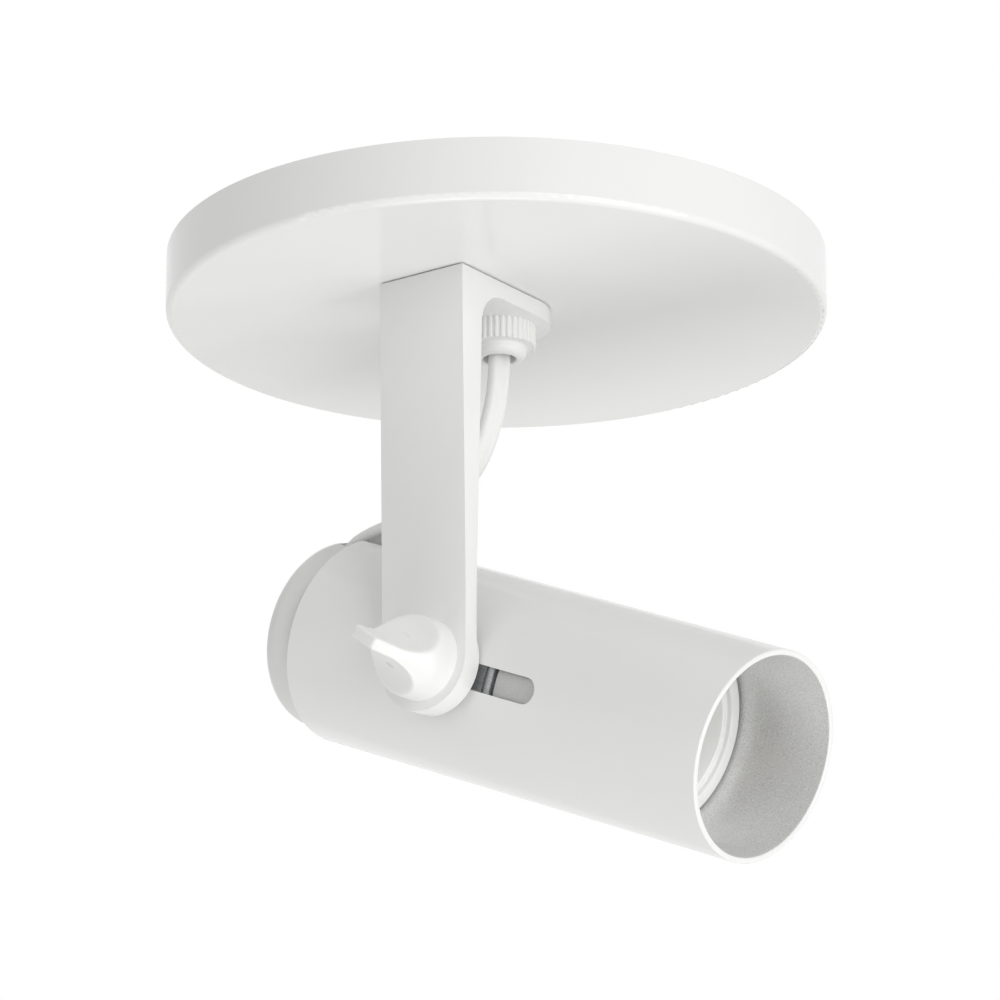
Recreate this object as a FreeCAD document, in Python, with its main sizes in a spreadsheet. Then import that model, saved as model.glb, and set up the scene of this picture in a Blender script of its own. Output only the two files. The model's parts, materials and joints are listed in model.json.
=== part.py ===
import FreeCAD, Part
import math
import os
import Sketcher

# A ceiling spotlight: a round pan on the ceiling, an L-shaped arm that turns under it, and an
# open-fronted cylinder that tilts and slides at the foot of the arm. Millimetres and degrees.
# The origin is the centre of the pan's ceiling face and +Z is up. At rest the cylinder's front
# points along +X and down, and the arm hangs on its -Y side.

SIZES = [
    # alias, value, what it is
    ("canopy_radius", 76.0, "outer radius of the pan, six inches across"),
    ("canopy_height", 14.5, "pan, from ceiling to lower face"),
    ("canopy_wall", 1.2, "sheet of the pan"),
    ("canopy_edge", 1.6, "rounding of the pan's lower outer edge"),
    ("swivel_ahead", 4.25, "swivel axis from the pan's centre, along X"),
    ("swivel_aside", 4.55, "swivel axis from the pan's centre, along -Y"),
    ("swivel_gap", 0.3, "washer between pan and arm"),
    ("washer_inset", 0.7, "that washer inside the arm's rounded nose"),
    ("crossbar_width", 22.0, "strap across the pan"),
    ("crossbar_sheet", 1.5, "steel of the strap"),
    ("crossbar_hole", 8.0, "radius of the strap's middle hole, for the wires"),
    ("crossbar_gap", 1.1, "strap's bent tabs from the pan's wall"),
    ("crossbar_tab", 9.0, "length of the strap's bent tabs"),
    ("tab_width", 14.0, "width of the strap's bent tabs"),
    ("box_spacing", 88.9, "outlet box screws, centre to centre, three and a half inches"),
    ("box_slot_radius", 2.3, "half width of the strap's slots"),
    ("box_slot_length", 14.0, "end to end length of the strap's slots"),
    ("grub_radius", 1.75, "set screw in the pan's wall"),
    ("grub_socket", 0.95, "hexagon in the set screw, over its corners"),
    ("grub_length", 6.5, "set screw"),
    ("grub_depth", 7.5, "set screw below the ceiling"),
    ("ground_radius", 2.2, "ground screw's thread"),
    ("ground_head", 4.2, "ground screw's head radius"),
    ("ground_head_height", 2.2, "ground screw's head"),
    ("ground_place", 22.0, "ground screw from the pan's centre"),
    ("driver_slot", 1.0, "slot for a flat driver"),
    ("nipple_radius", 5.0, "hollow threaded nipple, outside"),
    ("nipple_bore", 3.5, "hollow threaded nipple, bore radius"),
    ("nipple_stand", 0.7, "nipple above its locknut"),
    ("thread_fit", 0.03, "radial clearance of threads and pressed pieces"),
    ("turn_fit", 0.08, "radial running clearance of a shaft"),
    ("locknut_flats", 14.0, "locknut, across its flats"),
    ("locknut_height", 3.0, "locknut"),
    ("wave_washer_radius", 8.0, "spring washer, outside"),
    ("wave_washer_height", 0.8, "spring washer, pressed"),
    ("arm_width", 23.1, "arm and flange"),
    ("flange_thickness", 3.9, "arm's horizontal flange"),
    ("leg_root", 7.75, "leg's thickness under the flange"),
    ("leg_draft", 1.55, "outer face's lean inwards from the flange down to the foot"),
    ("leg_foot", 4.1, "leg's thickness above its foot"),
    ("leg_taper_end", 75.0, "where the leg stops thinning, below the pan"),
    ("leg_fillet", 8.0, "inner corner of leg and flange"),
    ("arm_drop", 90.9, "tilt axis below the pan's lower face"),
    ("nut_radius", 8.3, "ribbed nut"),
    ("nut_ribs_height", 5.1, "ribbed part of the nut"),
    ("nut_rib_count", 36.0, "ribs round the nut"),
    ("nut_groove", 0.42, "radius of the grooves between ribs"),
    ("nut_ring_radius", 6.1, "domed ring under the ribs"),
    ("nut_ring_height", 2.7, "domed ring under the ribs"),
    ("nut_ring_round", 1.7, "rounding of the domed ring"),
    ("nut_mouth", 3.8, "radius of the nut's mouth, where the cord comes out"),
    ("nut_lip", 1.9, "lip round the nut's mouth"),
    ("gripper_height", 2.0, "bush that grips the cord inside the nut"),
    ("gripper_radius", 4.7, "bush that grips the cord, outside"),
    ("cord_diameter", 5.3, "flat cord's width"),
    ("rest_tilt", 22.8, "nose of the cylinder below level, at rest"),
    ("pivot_below", 2.1, "tilt axis below the cylinder's centre line"),
    ("foot_pad", 1.0, "round pad on the inner side of the leg's foot"),
    ("tube_offset", 0.75, "cylinder's centre line from the swivel axis, away from the arm"),
    ("tube_radius", 23.8, "cylinder, outside"),
    ("tube_wall", 1.35, "cylinder's wall"),
    ("tube_front", 75.4, "cylinder's front edge ahead of the tilt axis"),
    ("tube_length", 120.4, "cylinder"),
    ("slot_width", 6.0, "side slot"),
    ("slot_front", 28.0, "front end of the side slot ahead of the tilt axis"),
    ("slot_spare", 0.35, "slot's rear end behind the stud's shoulder"),
    ("notch_half", 9.8, "half width of the notch at the cylinder's back"),
    ("notch_depth", 30.0, "notch at the cylinder's back"),
    ("notch_round", 2.0, "rounding of the notch's outer corners"),
    ("friction_washer", 0.45, "fibre washer between arm and cylinder"),
    ("friction_radius", 9.0, "fibre washer, outside"),
    ("face_gap", 0.05, "between faces that rub"),
    ("stud_radius", 2.5, "tilt stud's thread"),
    ("stud_shoulder", 2.92, "tilt stud's shoulder in the slot"),
    ("stud_head", 4.5, "tilt stud's riveted head"),
    ("stud_head_height", 1.4, "tilt stud's riveted head"),
    ("stud_seat", 1.25, "stud's head from the cradle's inner face, where the curve clears it"),
    ("stud_reach", 8.6, "tilt stud beyond the arm's outer face"),
    ("cradle_gap", 0.15, "steel cradle from the cylinder's bore"),
    ("cradle_sheet", 1.2, "steel of the cradle"),
    ("cradle_half", 9.0, "half width of the cradle"),
    ("cradle_front", 14.0, "cradle's front end ahead of the tilt axis"),
    ("cradle_clear", 1.0, "cradle's rear end ahead of the rear cap's rim"),
    ("hem_length", 1.9, "folded front edge of the cradle"),
    ("hem_thickness", 2.2, "folded front edge of the cradle"),
    ("hem_round", 0.8, "rounding of the folded edge"),
    ("plate_place", 6.0, "cradle's front cross plate ahead of the tilt axis"),
    ("plate_reach", 13.0, "cradle's cross plates beyond the centre line"),
    ("holder_gap", 0.55, "lampholder's front part from the cylinder's bore"),
    ("holder_rear_radius", 16.5, "lampholder's rear part"),
    ("holder_front", 50.6, "lampholder's front face ahead of the tilt axis"),
    ("holder_step", 14.9, "rear face of the lampholder's front part"),
    ("holder_groove_outer", 18.7, "ring groove, outer radius"),
    ("holder_groove_inner", 17.4, "ring groove, inner radius"),
    ("holder_groove_depth", 1.3, "ring groove"),
    ("holder_ring_step", 0.4, "inner ring behind the lampholder's face"),
    ("holder_ring_inner", 16.2, "thin raised ring, inner radius"),
    ("holder_throat_depth", 5.5, "slope from the thin ring to the screw shell"),
    ("holder_edge", 0.8, "rounding of the lampholder's front edge"),
    ("shell_radius", 13.4, "screw shell's crest, medium lamp base"),
    ("shell_thread", 0.8, "depth of the screw shell's thread"),
    ("shell_pitch", 3.6, "screw shell's thread"),
    ("shell_sheet", 0.35, "screw shell's metal"),
    ("shell_turns", 6.0, "turns of the screw shell's thread"),
    ("shell_fit", 0.2, "screw shell in its seat"),
    ("shell_floor_hole", 9.0, "radius of the hole in the screw shell's floor"),
    ("contact_width", 5.0, "brass tongue"),
    ("contact_length", 13.0, "brass tongue"),
    ("contact_sheet", 0.5, "brass tongue"),
    ("contact_lift", 14.0, "slope of the brass tongue, degrees"),
    ("contact_start", 4.5, "bend of the brass tongue from the centre line"),
    ("contact_foot", 3.0, "flat foot of the brass tongue"),
    ("contact_bend", 1.0, "length of the tongue's bend"),
    ("rivet_from_bend", 1.7, "rivet from the tongue's bend"),
    ("rivet_head", 0.6, "rivet's head height"),
    ("rivet_radius", 1.6, "rivet that holds the tongue"),
    ("holder_screw_radius", 1.5, "screws from cradle to lampholder"),
    ("holder_screw_length", 6.0, "screws from cradle to lampholder"),
    ("holder_screw_head", 2.7, "their heads' radius"),
    ("holder_screw_head_height", 1.5, "their heads"),
    ("holder_screw_spread", 8.0, "each of the screws from the centre line"),
    ("cap_gap", 0.65, "rear cap from the cylinder's bore"),
    ("cap_wall", 1.7, "rear cap's wall"),
    ("cap_overlap", 9.0, "rear cap inside the cylinder"),
    ("cap_stand", 10.8, "rear cap behind the cylinder"),
    ("cap_round", 5.0, "rear cap's rounded edge"),
    ("cap_notch_half", 3.5, "half width of the cord's notch in the cap"),
    ("cap_notch_margin", 2.4, "cord notch's rear end ahead of the cap's back"),
    ("cord_side", 6.3, "cord at the cap, from the centre line towards the arm"),
    ("cap_screw_radius", 2.0, "screw that holds the cap"),
    ("cap_screw_head", 4.0, "its head's radius"),
    ("cap_screw_head_height", 2.4, "its head"),
    ("clamp_top", 10.8, "top of the cord clamp above the centre line"),
    ("clamp_entry", 18.5, "height above the centre line where the cord turns down to the clamp"),
    ("clamp_height", 7.0, "cord clamp"),
    ("clamp_seat", 2.0, "depth of the cord's seat in the clamp"),
    ("clamp_width", 9.0, "cord clamp, across the cord"),
    ("clamp_depth", 7.4, "cord clamp, along the cylinder"),
    ("knob_radius", 9.3, "thumb knob's base"),
    ("knob_reach", 22.0, "thumb knob's tip from the arm"),
    ("knob_base", 6.8, "height of the knob's base up to its shoulder"),
    ("knob_shoulder", 11.0, "rounding of the knob's shoulder"),
    ("knob_neck", 4.7, "half width of the knob's blade at its neck"),
    ("knob_neck_drop", 6.4, "neck below the knob's tip"),
    ("knob_neck_round", 14.0, "rounding of the neck"),
    ("knob_tip_radius", 3.8, "half width of the knob's tip"),
    ("knob_waist", 1.5, "half thickness of the knob's blade"),
    ("knob_scoop", 11.0, "radius of the scoops beside the blade"),
    ("knob_scoop_place", 15.6, "middle of the scoops' rounded ends from the arm"),
    ("knob_turned", 38.0, "knob's blade turned from level, degrees"),
    ("insert_radius", 4.0, "brass insert in the knob"),
    ("insert_length", 7.0, "brass insert in the knob"),
    ("insert_spare", 1.3, "knob's hollow past the insert"),
    ("knob_washer_radius", 6.5, "steel washer under the knob"),
    ("knob_washer_height", 0.7, "steel washer under the knob"),
    ("lead_diameter", 2.2, "insulated lead"),
    ("connector_radius", 4.6, "twist-on connector's mouth"),
    ("connector_tip", 3.0, "twist-on connector's tip radius"),
    ("connector_length", 16.0, "twist-on connector"),
    ("connector_depth", 5.0, "lead inside its connector"),
]

doc = FreeCAD.newDocument("ceiling_spotlight")
Vector = FreeCAD.Vector


class Length:
    """A size known both as a number and as a formula of the sheet."""

    def __init__(self, value, text):
        self.value = value
        self.text = text

    def join(self, other, sign, value):
        return Length(value, f"({self.text} {sign} {as_length(other).text})")

    def __add__(self, other):
        return self.join(other, "+", self.value + as_length(other).value)

    def __sub__(self, other):
        return self.join(other, "-", self.value - as_length(other).value)

    def __mul__(self, other):
        return self.join(other, "*", self.value * as_length(other).value)

    def __truediv__(self, other):
        return self.join(other, "/", self.value / as_length(other).value)

    def __neg__(self):
        return Length(-self.value, f"(0 - {self.text})")


def as_length(number):
    if isinstance(number, Length):
        return number
    return Length(float(number), repr(float(number)))


class Sizes:
    """The sheet's sizes by name."""


def make_sheet():
    sheet = doc.addObject("Spreadsheet::Sheet", "sizes")
    for row, (alias, value, meaning) in enumerate(SIZES, start=1):
        sheet.set(f"A{row}", alias)
        sheet.set(f"B{row}", str(value))
        sheet.set(f"C{row}", meaning)
        sheet.setAlias(f"B{row}", alias)
        setattr(Sizes, alias, Length(value, f"sizes.{alias}"))
    doc.recompute()


make_sheet()
s = Sizes
parts = []


# Places and turns

def rest_direction():
    """Ahead and up along the cylinder, at rest."""
    tilt = math.radians(s.rest_tilt.value)
    ahead = Vector(math.cos(tilt), 0, -math.sin(tilt))
    up = Vector(math.sin(tilt), 0, math.cos(tilt))
    return ahead, up


def swivel_point():
    """Where the swivel axis meets the pan's lower face."""
    return Vector(s.swivel_ahead.value, -s.swivel_aside.value, -s.canopy_height.value)


def pivot_point():
    """On the tilt axis, at the middle of the cylinder."""
    return swivel_point() + Vector(0, s.tube_offset.value, -s.arm_drop.value)


PAN_PLACE = FreeCAD.Placement()
ARM_PLACE = FreeCAD.Placement(swivel_point(), FreeCAD.Rotation())
# In the head, Z runs forward along the cylinder, X down and Y away from the arm.
HEAD_PLACE = FreeCAD.Placement(
    pivot_point() + rest_direction()[1] * s.pivot_below.value,
    FreeCAD.Rotation(Vector(0, 1, 0), 90 + s.rest_tilt.value),
)
# Across the tilt axis, Z runs outwards through the arm from the cylinder's middle and Y up.
AXLE_PLACE = FreeCAD.Placement(pivot_point(), FreeCAD.Rotation(Vector(1, 0, 0), 90))

pad_face = s.tube_radius + s.friction_washer + s.face_gap
arm_inner = pad_face + s.foot_pad
arm_outer = arm_inner + s.leg_foot
foot_inner = s.tube_offset - arm_inner
foot_outer = s.tube_offset - arm_outer
leg_top = foot_outer - s.leg_draft
flange_top = -s.swivel_gap
flange_bottom = flange_top - s.flange_thickness
tube_back = s.tube_front - s.tube_length
tube_bore = s.tube_radius - s.tube_wall
cradle_outer = tube_bore - s.cradle_gap
cradle_inner = cradle_outer - s.cradle_sheet
plate_front = s.plate_place + s.cradle_sheet
holder_radius = tube_bore - s.holder_gap
cap_radius = tube_bore - s.cap_gap
pan_floor = s.canopy_wall - s.canopy_height
pan_bore = s.canopy_radius - s.canopy_wall
cap_back = tube_back - s.cap_stand
cap_front = tube_back + s.cap_overlap
cradle_back = cap_front + s.cradle_clear
ribs_bottom = flange_bottom - s.nut_ribs_height
nut_bottom = ribs_bottom - s.nut_ring_height
gripper_bottom = nut_bottom + s.nut_lip
gripper_top = gripper_bottom + s.gripper_height
holder_floor = s.holder_front - s.holder_throat_depth - s.shell_pitch * (s.shell_turns + 0.5)


def keep(obj, label, place):
    """Names a finished sub-part and puts it in its place."""
    obj.Label = label
    obj.Placement = place
    parts.append(obj)
    return obj


# Sketches and features

def origin_feature(body, role):
    return [item for item in body.Origin.OriginFeatures if item.Role == role][0]


def new_body(name):
    return doc.addObject("PartDesign::Body", name + "_body")


def new_sketch(body, plane):
    sketch = body.newObject("Sketcher::SketchObject", body.Name + "_sketch")
    sketch.AttachmentSupport = [(origin_feature(body, plane), "")]
    sketch.MapMode = "FlatFace"
    return sketch


def pin(sketch, geometry, point, across, along):
    """Ties a point of a sketch to the sheet."""
    for kind, length in (("DistanceX", across), ("DistanceY", along)):
        length = as_length(length)
        rule = Sketcher.Constraint(kind, geometry, point, length.value)
        index = sketch.addConstraint(rule)
        sketch.setExpression(f"Constraints[{index}]", length.text)


def draw_outline(sketch, points):
    """Closed outline of straight sides through (across, along) points."""
    first = sketch.GeometryCount
    places = [Vector(as_length(x).value, as_length(y).value, 0) for x, y in points]
    count = len(points)
    for index in range(count):
        side = Part.LineSegment(places[index], places[(index + 1) % count])
        sketch.addGeometry(side, False)
    for index in range(count):
        joint = Sketcher.Constraint("Coincident", first + index, 2, first + (index + 1) % count, 1)
        sketch.addConstraint(joint)
    for index, (x, y) in enumerate(points):
        pin(sketch, first + index, 1, x, y)


def draw_circle(sketch, across, along, radius):
    centre = Vector(as_length(across).value, as_length(along).value, 0)
    round_edge = Part.Circle(centre, Vector(0, 0, 1), radius.value)
    index = sketch.addGeometry(round_edge, False)
    pin(sketch, index, 3, across, along)
    rule = sketch.addConstraint(Sketcher.Constraint("Radius", index, radius.value))
    sketch.setExpression(f"Constraints[{rule}]", radius.text)


def draw_slot(sketch, across, along, half_length, radius):
    """Round-ended slot; half_length runs along the sketch's Y axis to each arc's centre."""
    arcs = []
    for sign, start in ((1, 0.0), (-1, math.pi)):
        middle = as_length(along) + half_length * sign
        centre = Vector(as_length(across).value, middle.value, 0)
        circle = Part.Circle(centre, Vector(0, 0, 1), radius.value)
        arc = sketch.addGeometry(Part.ArcOfCircle(circle, start, start + math.pi), False)
        pin(sketch, arc, 3, across, middle)
        rule = sketch.addConstraint(Sketcher.Constraint("Radius", arc, radius.value))
        sketch.setExpression(f"Constraints[{rule}]", radius.text)
        sketch.addConstraint(Sketcher.Constraint("Horizontal", arc, 3, arc, 1))
        sketch.addConstraint(Sketcher.Constraint("Horizontal", arc, 3, arc, 2))
        arcs.append((arc, centre))
    reach = Vector(radius.value, 0, 0)
    (top, top_centre), (bottom, bottom_centre) = arcs
    left = Part.LineSegment(top_centre - reach, bottom_centre - reach)
    right = Part.LineSegment(bottom_centre + reach, top_centre + reach)
    left_side = sketch.addGeometry(left, False)
    right_side = sketch.addGeometry(right, False)
    sketch.addConstraint(Sketcher.Constraint("Coincident", left_side, 1, top, 2))
    sketch.addConstraint(Sketcher.Constraint("Coincident", left_side, 2, bottom, 1))
    sketch.addConstraint(Sketcher.Constraint("Coincident", right_side, 1, bottom, 2))
    sketch.addConstraint(Sketcher.Constraint("Coincident", right_side, 2, top, 1))


def pad(body, sketch, length, middle=False, backwards=False):
    feature = body.newObject("PartDesign::Pad", body.Name + "_pad")
    feature.Profile = sketch
    feature.setExpression("Length", as_length(length).text)
    feature.Midplane = middle
    feature.Reversed = backwards
    doc.recompute()
    return feature


def pocket(body, sketch, length, middle=False, backwards=False):
    """Cuts a sketch's outline out of a body, and says so if it cut nothing."""
    doc.recompute()
    before = body.Shape.Volume
    feature = body.newObject("PartDesign::Pocket", body.Name + "_pocket")
    feature.Profile = sketch
    feature.setExpression("Length", as_length(length).text)
    feature.Midplane = middle
    feature.Reversed = backwards
    doc.recompute()
    if body.Shape.Volume >= before:
        raise RuntimeError(f"a pocket in {body.Name} cuts nothing")
    return feature


def revolve(body, sketch):
    feature = body.newObject("PartDesign::Revolution", body.Name + "_turned")
    feature.Profile = sketch
    feature.ReferenceAxis = (origin_feature(body, "Z_Axis"), [""])
    feature.Angle = 360
    doc.recompute()
    return feature


def turned(name, points):
    """A body turned round Z from (radius, height) points."""
    body = new_body(name)
    sketch = new_sketch(body, "XZ_Plane")
    draw_outline(sketch, points)
    revolve(body, sketch)
    return body


def round_edges(body, radius, choose):
    """Rounds the edges of a body that choose(edge) picks."""
    base = body.Tip
    edges = base.Shape.Edges
    names = [f"Edge{index}" for index, edge in enumerate(edges, start=1) if choose(edge)]
    if not names:
        raise RuntimeError(f"no edge to round in {body.Name}")
    fillet = body.newObject("PartDesign::Fillet", body.Name + "_fillet")
    fillet.Base = (base, names)
    fillet.setExpression("Radius", radius.text)
    doc.recompute()
    return fillet


def is_ring(edge, radius, height):
    """A full or part circle round Z of that radius and height."""
    if not hasattr(edge.Curve, "Radius"):
        return False
    centre = edge.Curve.Center
    level = abs(centre.z - height.value) < 1e-4
    return level and math.hypot(centre.x, centre.y) < 1e-4 and abs(edge.Curve.Radius - radius.value) < 1e-4


# Part primitives

def shaft(radius, bottom, height, across=0, along=0):
    """A cylinder along Z."""
    item = doc.addObject("Part::Cylinder", "shaft")
    item.setExpression("Radius", as_length(radius).text)
    item.setExpression("Height", as_length(height).text)
    item.setExpression("Placement.Base.x", as_length(across).text)
    item.setExpression("Placement.Base.y", as_length(along).text)
    item.setExpression("Placement.Base.z", as_length(bottom).text)
    return item


def block(corner, lengths):
    """A box from its lowest corner."""
    item = doc.addObject("Part::Box", "block")
    for name, length in zip(("Length", "Width", "Height"), lengths):
        item.setExpression(name, as_length(length).text)
    for name, place in zip("xyz", corner):
        item.setExpression(f"Placement.Base.{name}", as_length(place).text)
    return item


def cut(base, tool):
    item = doc.addObject("Part::Cut", "cut")
    item.Base = base
    item.Tool = tool
    return item


def common(first, second):
    item = doc.addObject("Part::Common", "common")
    item.Base = first
    item.Tool = second
    return item


def fuse(*items):
    item = doc.addObject("Part::MultiFuse", "fused")
    item.Shapes = list(items)
    return item


def ring(outer, inner, bottom, height, across=0, along=0):
    """A washer or sleeve along Z."""
    core = shaft(inner, as_length(bottom) - 1, as_length(height) + 2, across, along)
    return cut(shaft(outer, bottom, height, across, along), core)


# Tubes along a route

def route_wire(points, name):
    """Straight runs joined by tangent arcs, each as large as its two runs allow."""
    share = 0.45
    edges = []
    radii = []
    last = points[0]
    for before, corner, after in zip(points, points[1:], points[2:]):
        inward = corner - before
        outward = after - corner
        turn = inward.getAngle(outward)
        trim = share * min(inward.Length, outward.Length)
        radii.append(trim / math.tan(turn / 2))
        start = corner - Vector(inward).normalize() * trim
        end = corner + Vector(outward).normalize() * trim
        toward = ((start - corner) + (end - corner)).normalize()
        depth = radii[-1] / math.cos(turn / 2) - radii[-1]
        edges.append(Part.LineSegment(last, start).toShape())
        edges.append(Part.Arc(start, corner + toward * depth, end).toShape())
        last = end
    edges.append(Part.LineSegment(last, points[-1]).toShape())
    print(name, "bend radii in mm:", [round(radius, 1) for radius in radii])
    return Part.Wire(edges)


def route_tube(points, diameter, name):
    """A round tube along a route, checked against its section times its length."""
    path = route_wire(points, name)
    start = points[0]
    circle = Part.Circle(start, points[1] - start, diameter / 2)
    solid = path.makePipeShell([Part.Wire([circle.toShape()])], True, False)
    expected = math.pi * diameter ** 2 / 4 * path.Length
    if abs(solid.Volume / expected - 1) > 0.01:
        raise RuntimeError(f"{name} isn't its section times its length")
    print(name, "length", round(path.Length, 1))
    return solid


def keep_shape(shape, label, place):
    """A sub-part whose form is set by Part's own functions."""
    item = doc.addObject("Part::Feature", label)
    item.Shape = shape
    return keep(item, label, place)


# The canopy

def make_canopy():
    body = turned("canopy", [
        (0, -s.canopy_height), (s.canopy_radius, -s.canopy_height), (s.canopy_radius, 0),
        (pan_bore, 0), (pan_bore, pan_floor), (0, pan_floor),
    ])
    round_edges(body, s.canopy_edge, lambda edge: is_ring(edge, s.canopy_radius, -s.canopy_height))
    holes = new_sketch(body, "XY_Plane")
    draw_circle(holes, s.swivel_ahead, -s.swivel_aside, s.nipple_radius + s.turn_fit)
    pocket(body, holes, s.canopy_height + 1)
    side = new_sketch(body, "XZ_Plane")
    draw_circle(side, 0, -s.grub_depth, s.grub_radius + s.turn_fit)
    pocket(body, side, s.canopy_radius + 1)
    keep(body, "canopy_shell", PAN_PLACE)


def make_crossbar():
    tab_outer = pan_bore - s.crossbar_gap
    tab_inner = tab_outer - s.crossbar_sheet
    half_tab = s.tab_width / 2
    body = new_body("crossbar")
    profile = new_sketch(body, "YZ_Plane")
    lip_top = s.crossbar_sheet - s.crossbar_tab
    draw_outline(profile, [
        (-tab_inner, 0), (tab_outer, 0), (tab_outer, -s.crossbar_tab - s.crossbar_sheet),
        (tab_inner, -s.crossbar_tab - s.crossbar_sheet), (tab_inner, -s.crossbar_sheet),
        (s.crossbar_sheet - tab_inner, -s.crossbar_sheet),
        (s.crossbar_sheet - tab_inner, -s.crossbar_tab), (-tab_outer, -s.crossbar_tab),
        (-tab_outer, lip_top), (-tab_inner, lip_top),
    ])
    pad(body, profile, s.crossbar_width, middle=True)
    for side in (-1, 1):
        far = pan_bore * side
        near = (tab_inner - s.crossbar_sheet * 4) * side
        trimmed = new_sketch(body, "XY_Plane")
        for hand in (-1, 1):
            draw_outline(trimmed, [
                (half_tab * hand, near), (s.crossbar_width * hand, near),
                (s.crossbar_width * hand, far), (half_tab * hand, far),
            ])
        pocket(body, trimmed, s.canopy_height)
    holes = new_sketch(body, "XY_Plane")
    draw_circle(holes, 0, 0, s.crossbar_hole)
    draw_circle(holes, 0, s.ground_place, s.ground_radius + s.thread_fit)
    for side in (-1, 1):
        straight = s.box_slot_length / 2 - s.box_slot_radius
        draw_slot(holes, 0, s.box_spacing / 2 * side, straight, s.box_slot_radius)
    pocket(body, holes, s.crossbar_sheet)
    threaded = new_sketch(body, "XZ_Plane")
    draw_circle(threaded, 0, -s.grub_depth, s.grub_radius + s.thread_fit)
    pocket(body, threaded, s.canopy_radius)
    keep(body, "crossbar", PAN_PLACE)


def make_canopy_hook():
    """A ledge on the pan's wall that rests on the crossbar's lip."""
    top = s.crossbar_sheet - s.crossbar_tab + s.face_gap
    half = s.tab_width / 2
    reach = s.crossbar_gap + s.crossbar_sheet - s.face_gap
    ledge = block((-half, -pan_bore, top), (s.tab_width, reach, s.crossbar_sheet))
    foot_height = top - pan_floor
    foot = block((-half, -pan_bore, pan_floor), (s.tab_width, s.crossbar_gap / 2, foot_height))
    outline = shaft(pan_bore, -s.canopy_height, s.canopy_height)
    keep(common(fuse(ledge, foot), outline), "canopy_hook", PAN_PLACE)


def make_small_canopy_parts():
    grub = shaft(s.grub_radius, s.canopy_radius - s.grub_length, s.grub_length)
    socket = doc.addObject("Part::Prism", "hex_socket")
    socket.Polygon = 6
    socket.setExpression("Circumradius", s.grub_socket.text)
    socket.setExpression("Height", s.grub_radius.text)
    socket.setExpression("Placement.Base.z", (s.canopy_radius - s.grub_radius).text)
    turned_in = FreeCAD.Placement(Vector(0, 0, -s.grub_depth.value), FreeCAD.Rotation(Vector(1, 0, 0), -90))
    keep(cut(grub, socket), "canopy_grub_screw", turned_in)

    shank = shaft(s.ground_radius, -s.crossbar_sheet, s.crossbar_sheet, 0, s.ground_place)
    head_bottom = -s.crossbar_sheet - s.ground_head_height
    head = shaft(s.ground_head, head_bottom, s.ground_head_height, 0, s.ground_place)
    driver = block(
        (-s.ground_head, s.ground_place - s.driver_slot / 2, head_bottom),
        (s.ground_head * 2, s.driver_slot, s.ground_head_height / 2),
    )
    keep(cut(fuse(shank, head), driver), "ground_screw", PAN_PLACE)

    washer_radius = s.arm_width / 2 - s.washer_inset
    washer = ring(washer_radius, s.nipple_radius + s.turn_fit, -s.swivel_gap, s.swivel_gap)
    keep(washer, "swivel_washer", ARM_PLACE)


LEAD_ROUTES = {
    "lead_line": [
        (3.0, -4.6, -13.0), (2.9, -4.7, -6.4), (0.2, -7.6, -4.4), (-6.0, -13.0, -7.6), (-14.0, -18.2, -7.9),
    ],
    "lead_neutral": [
        (5.5, -4.6, -13.0), (5.6, -4.7, -6.4), (8.7, -7.3, -4.4), (15.5, -12.2, -7.6), (24.0, -16.6, -7.9),
    ],
    "ground_lead": [
        (-2.0, 27.4, -2.75), (5.4, 27.0, -2.8), (9.6, 24.0, -4.5), (15.0, 19.0, -7.2), (22.0, 12.6, -7.9),
    ],
}


def make_leads():
    """Leads in the pan, each with a twist-on connector on its end."""
    connectors = []
    for name, places in LEAD_ROUTES.items():
        points = [Vector(*place) for place in places]
        keep_shape(route_tube(points, s.lead_diameter.value, name), name, PAN_PLACE)
        end = points[-1]
        ahead = (end - points[-2]).normalize()
        sleeve = s.lead_diameter.value / 2 + s.thread_fit.value
        depth = s.connector_depth.value
        start = end - ahead * depth
        wide, narrow, long = s.connector_radius.value, s.connector_tip.value, s.connector_length.value
        cone = Part.makeCone(wide, narrow, long, start, ahead)
        mouth = Part.makeCylinder(sleeve, depth, start, ahead)
        connectors.append(cone.cut(mouth))
    keep_shape(Part.makeCompound(connectors), "wire_connectors", PAN_PLACE)


# The arm and what turns with it

def make_arm():
    half = s.arm_width / 2
    body = new_body("arm")
    leg = new_sketch(body, "YZ_Plane")
    draw_outline(leg, [
        (leg_top, flange_top), (0, flange_top), (0, flange_bottom), (leg_top + s.leg_root, flange_bottom),
        (foot_inner, -s.leg_taper_end), (foot_inner, -s.arm_drop), (foot_outer, -s.arm_drop),
        (foot_outer, -s.leg_taper_end),
    ])
    pad(body, leg, s.arm_width, middle=True)
    nose = new_sketch(body, "XY_Plane")
    draw_circle(nose, 0, 0, half)
    nose.setExpression("AttachmentOffset.Base.z", flange_top.text)
    pad(body, nose, s.flange_thickness, backwards=True)
    foot = new_sketch(body, "XZ_Plane")
    draw_circle(foot, 0, -s.arm_drop, half)
    foot.setExpression("AttachmentOffset.Base.z", (pad_face - s.tube_offset).text)
    pad(body, foot, s.leg_foot + s.foot_pad)
    round_edges(body, s.leg_fillet, is_inner_corner)
    nipple_hole = new_sketch(body, "XY_Plane")
    draw_circle(nipple_hole, 0, 0, s.nipple_radius + s.thread_fit)
    pocket(body, nipple_hole, s.flange_thickness + 1)
    stud_hole = new_sketch(body, "XZ_Plane")
    draw_circle(stud_hole, 0, -s.arm_drop, s.stud_radius + s.turn_fit)
    pocket(body, stud_hole, arm_outer + 1, backwards=True)
    keep(body, "arm", ARM_PLACE)


def is_inner_corner(edge):
    """The straight edge across the arm where leg and flange meet."""
    middle = edge.BoundBox.Center
    wanted = Vector(0, (leg_top + s.leg_root).value, flange_bottom.value)
    return (middle - wanted).Length < 1e-3


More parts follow.
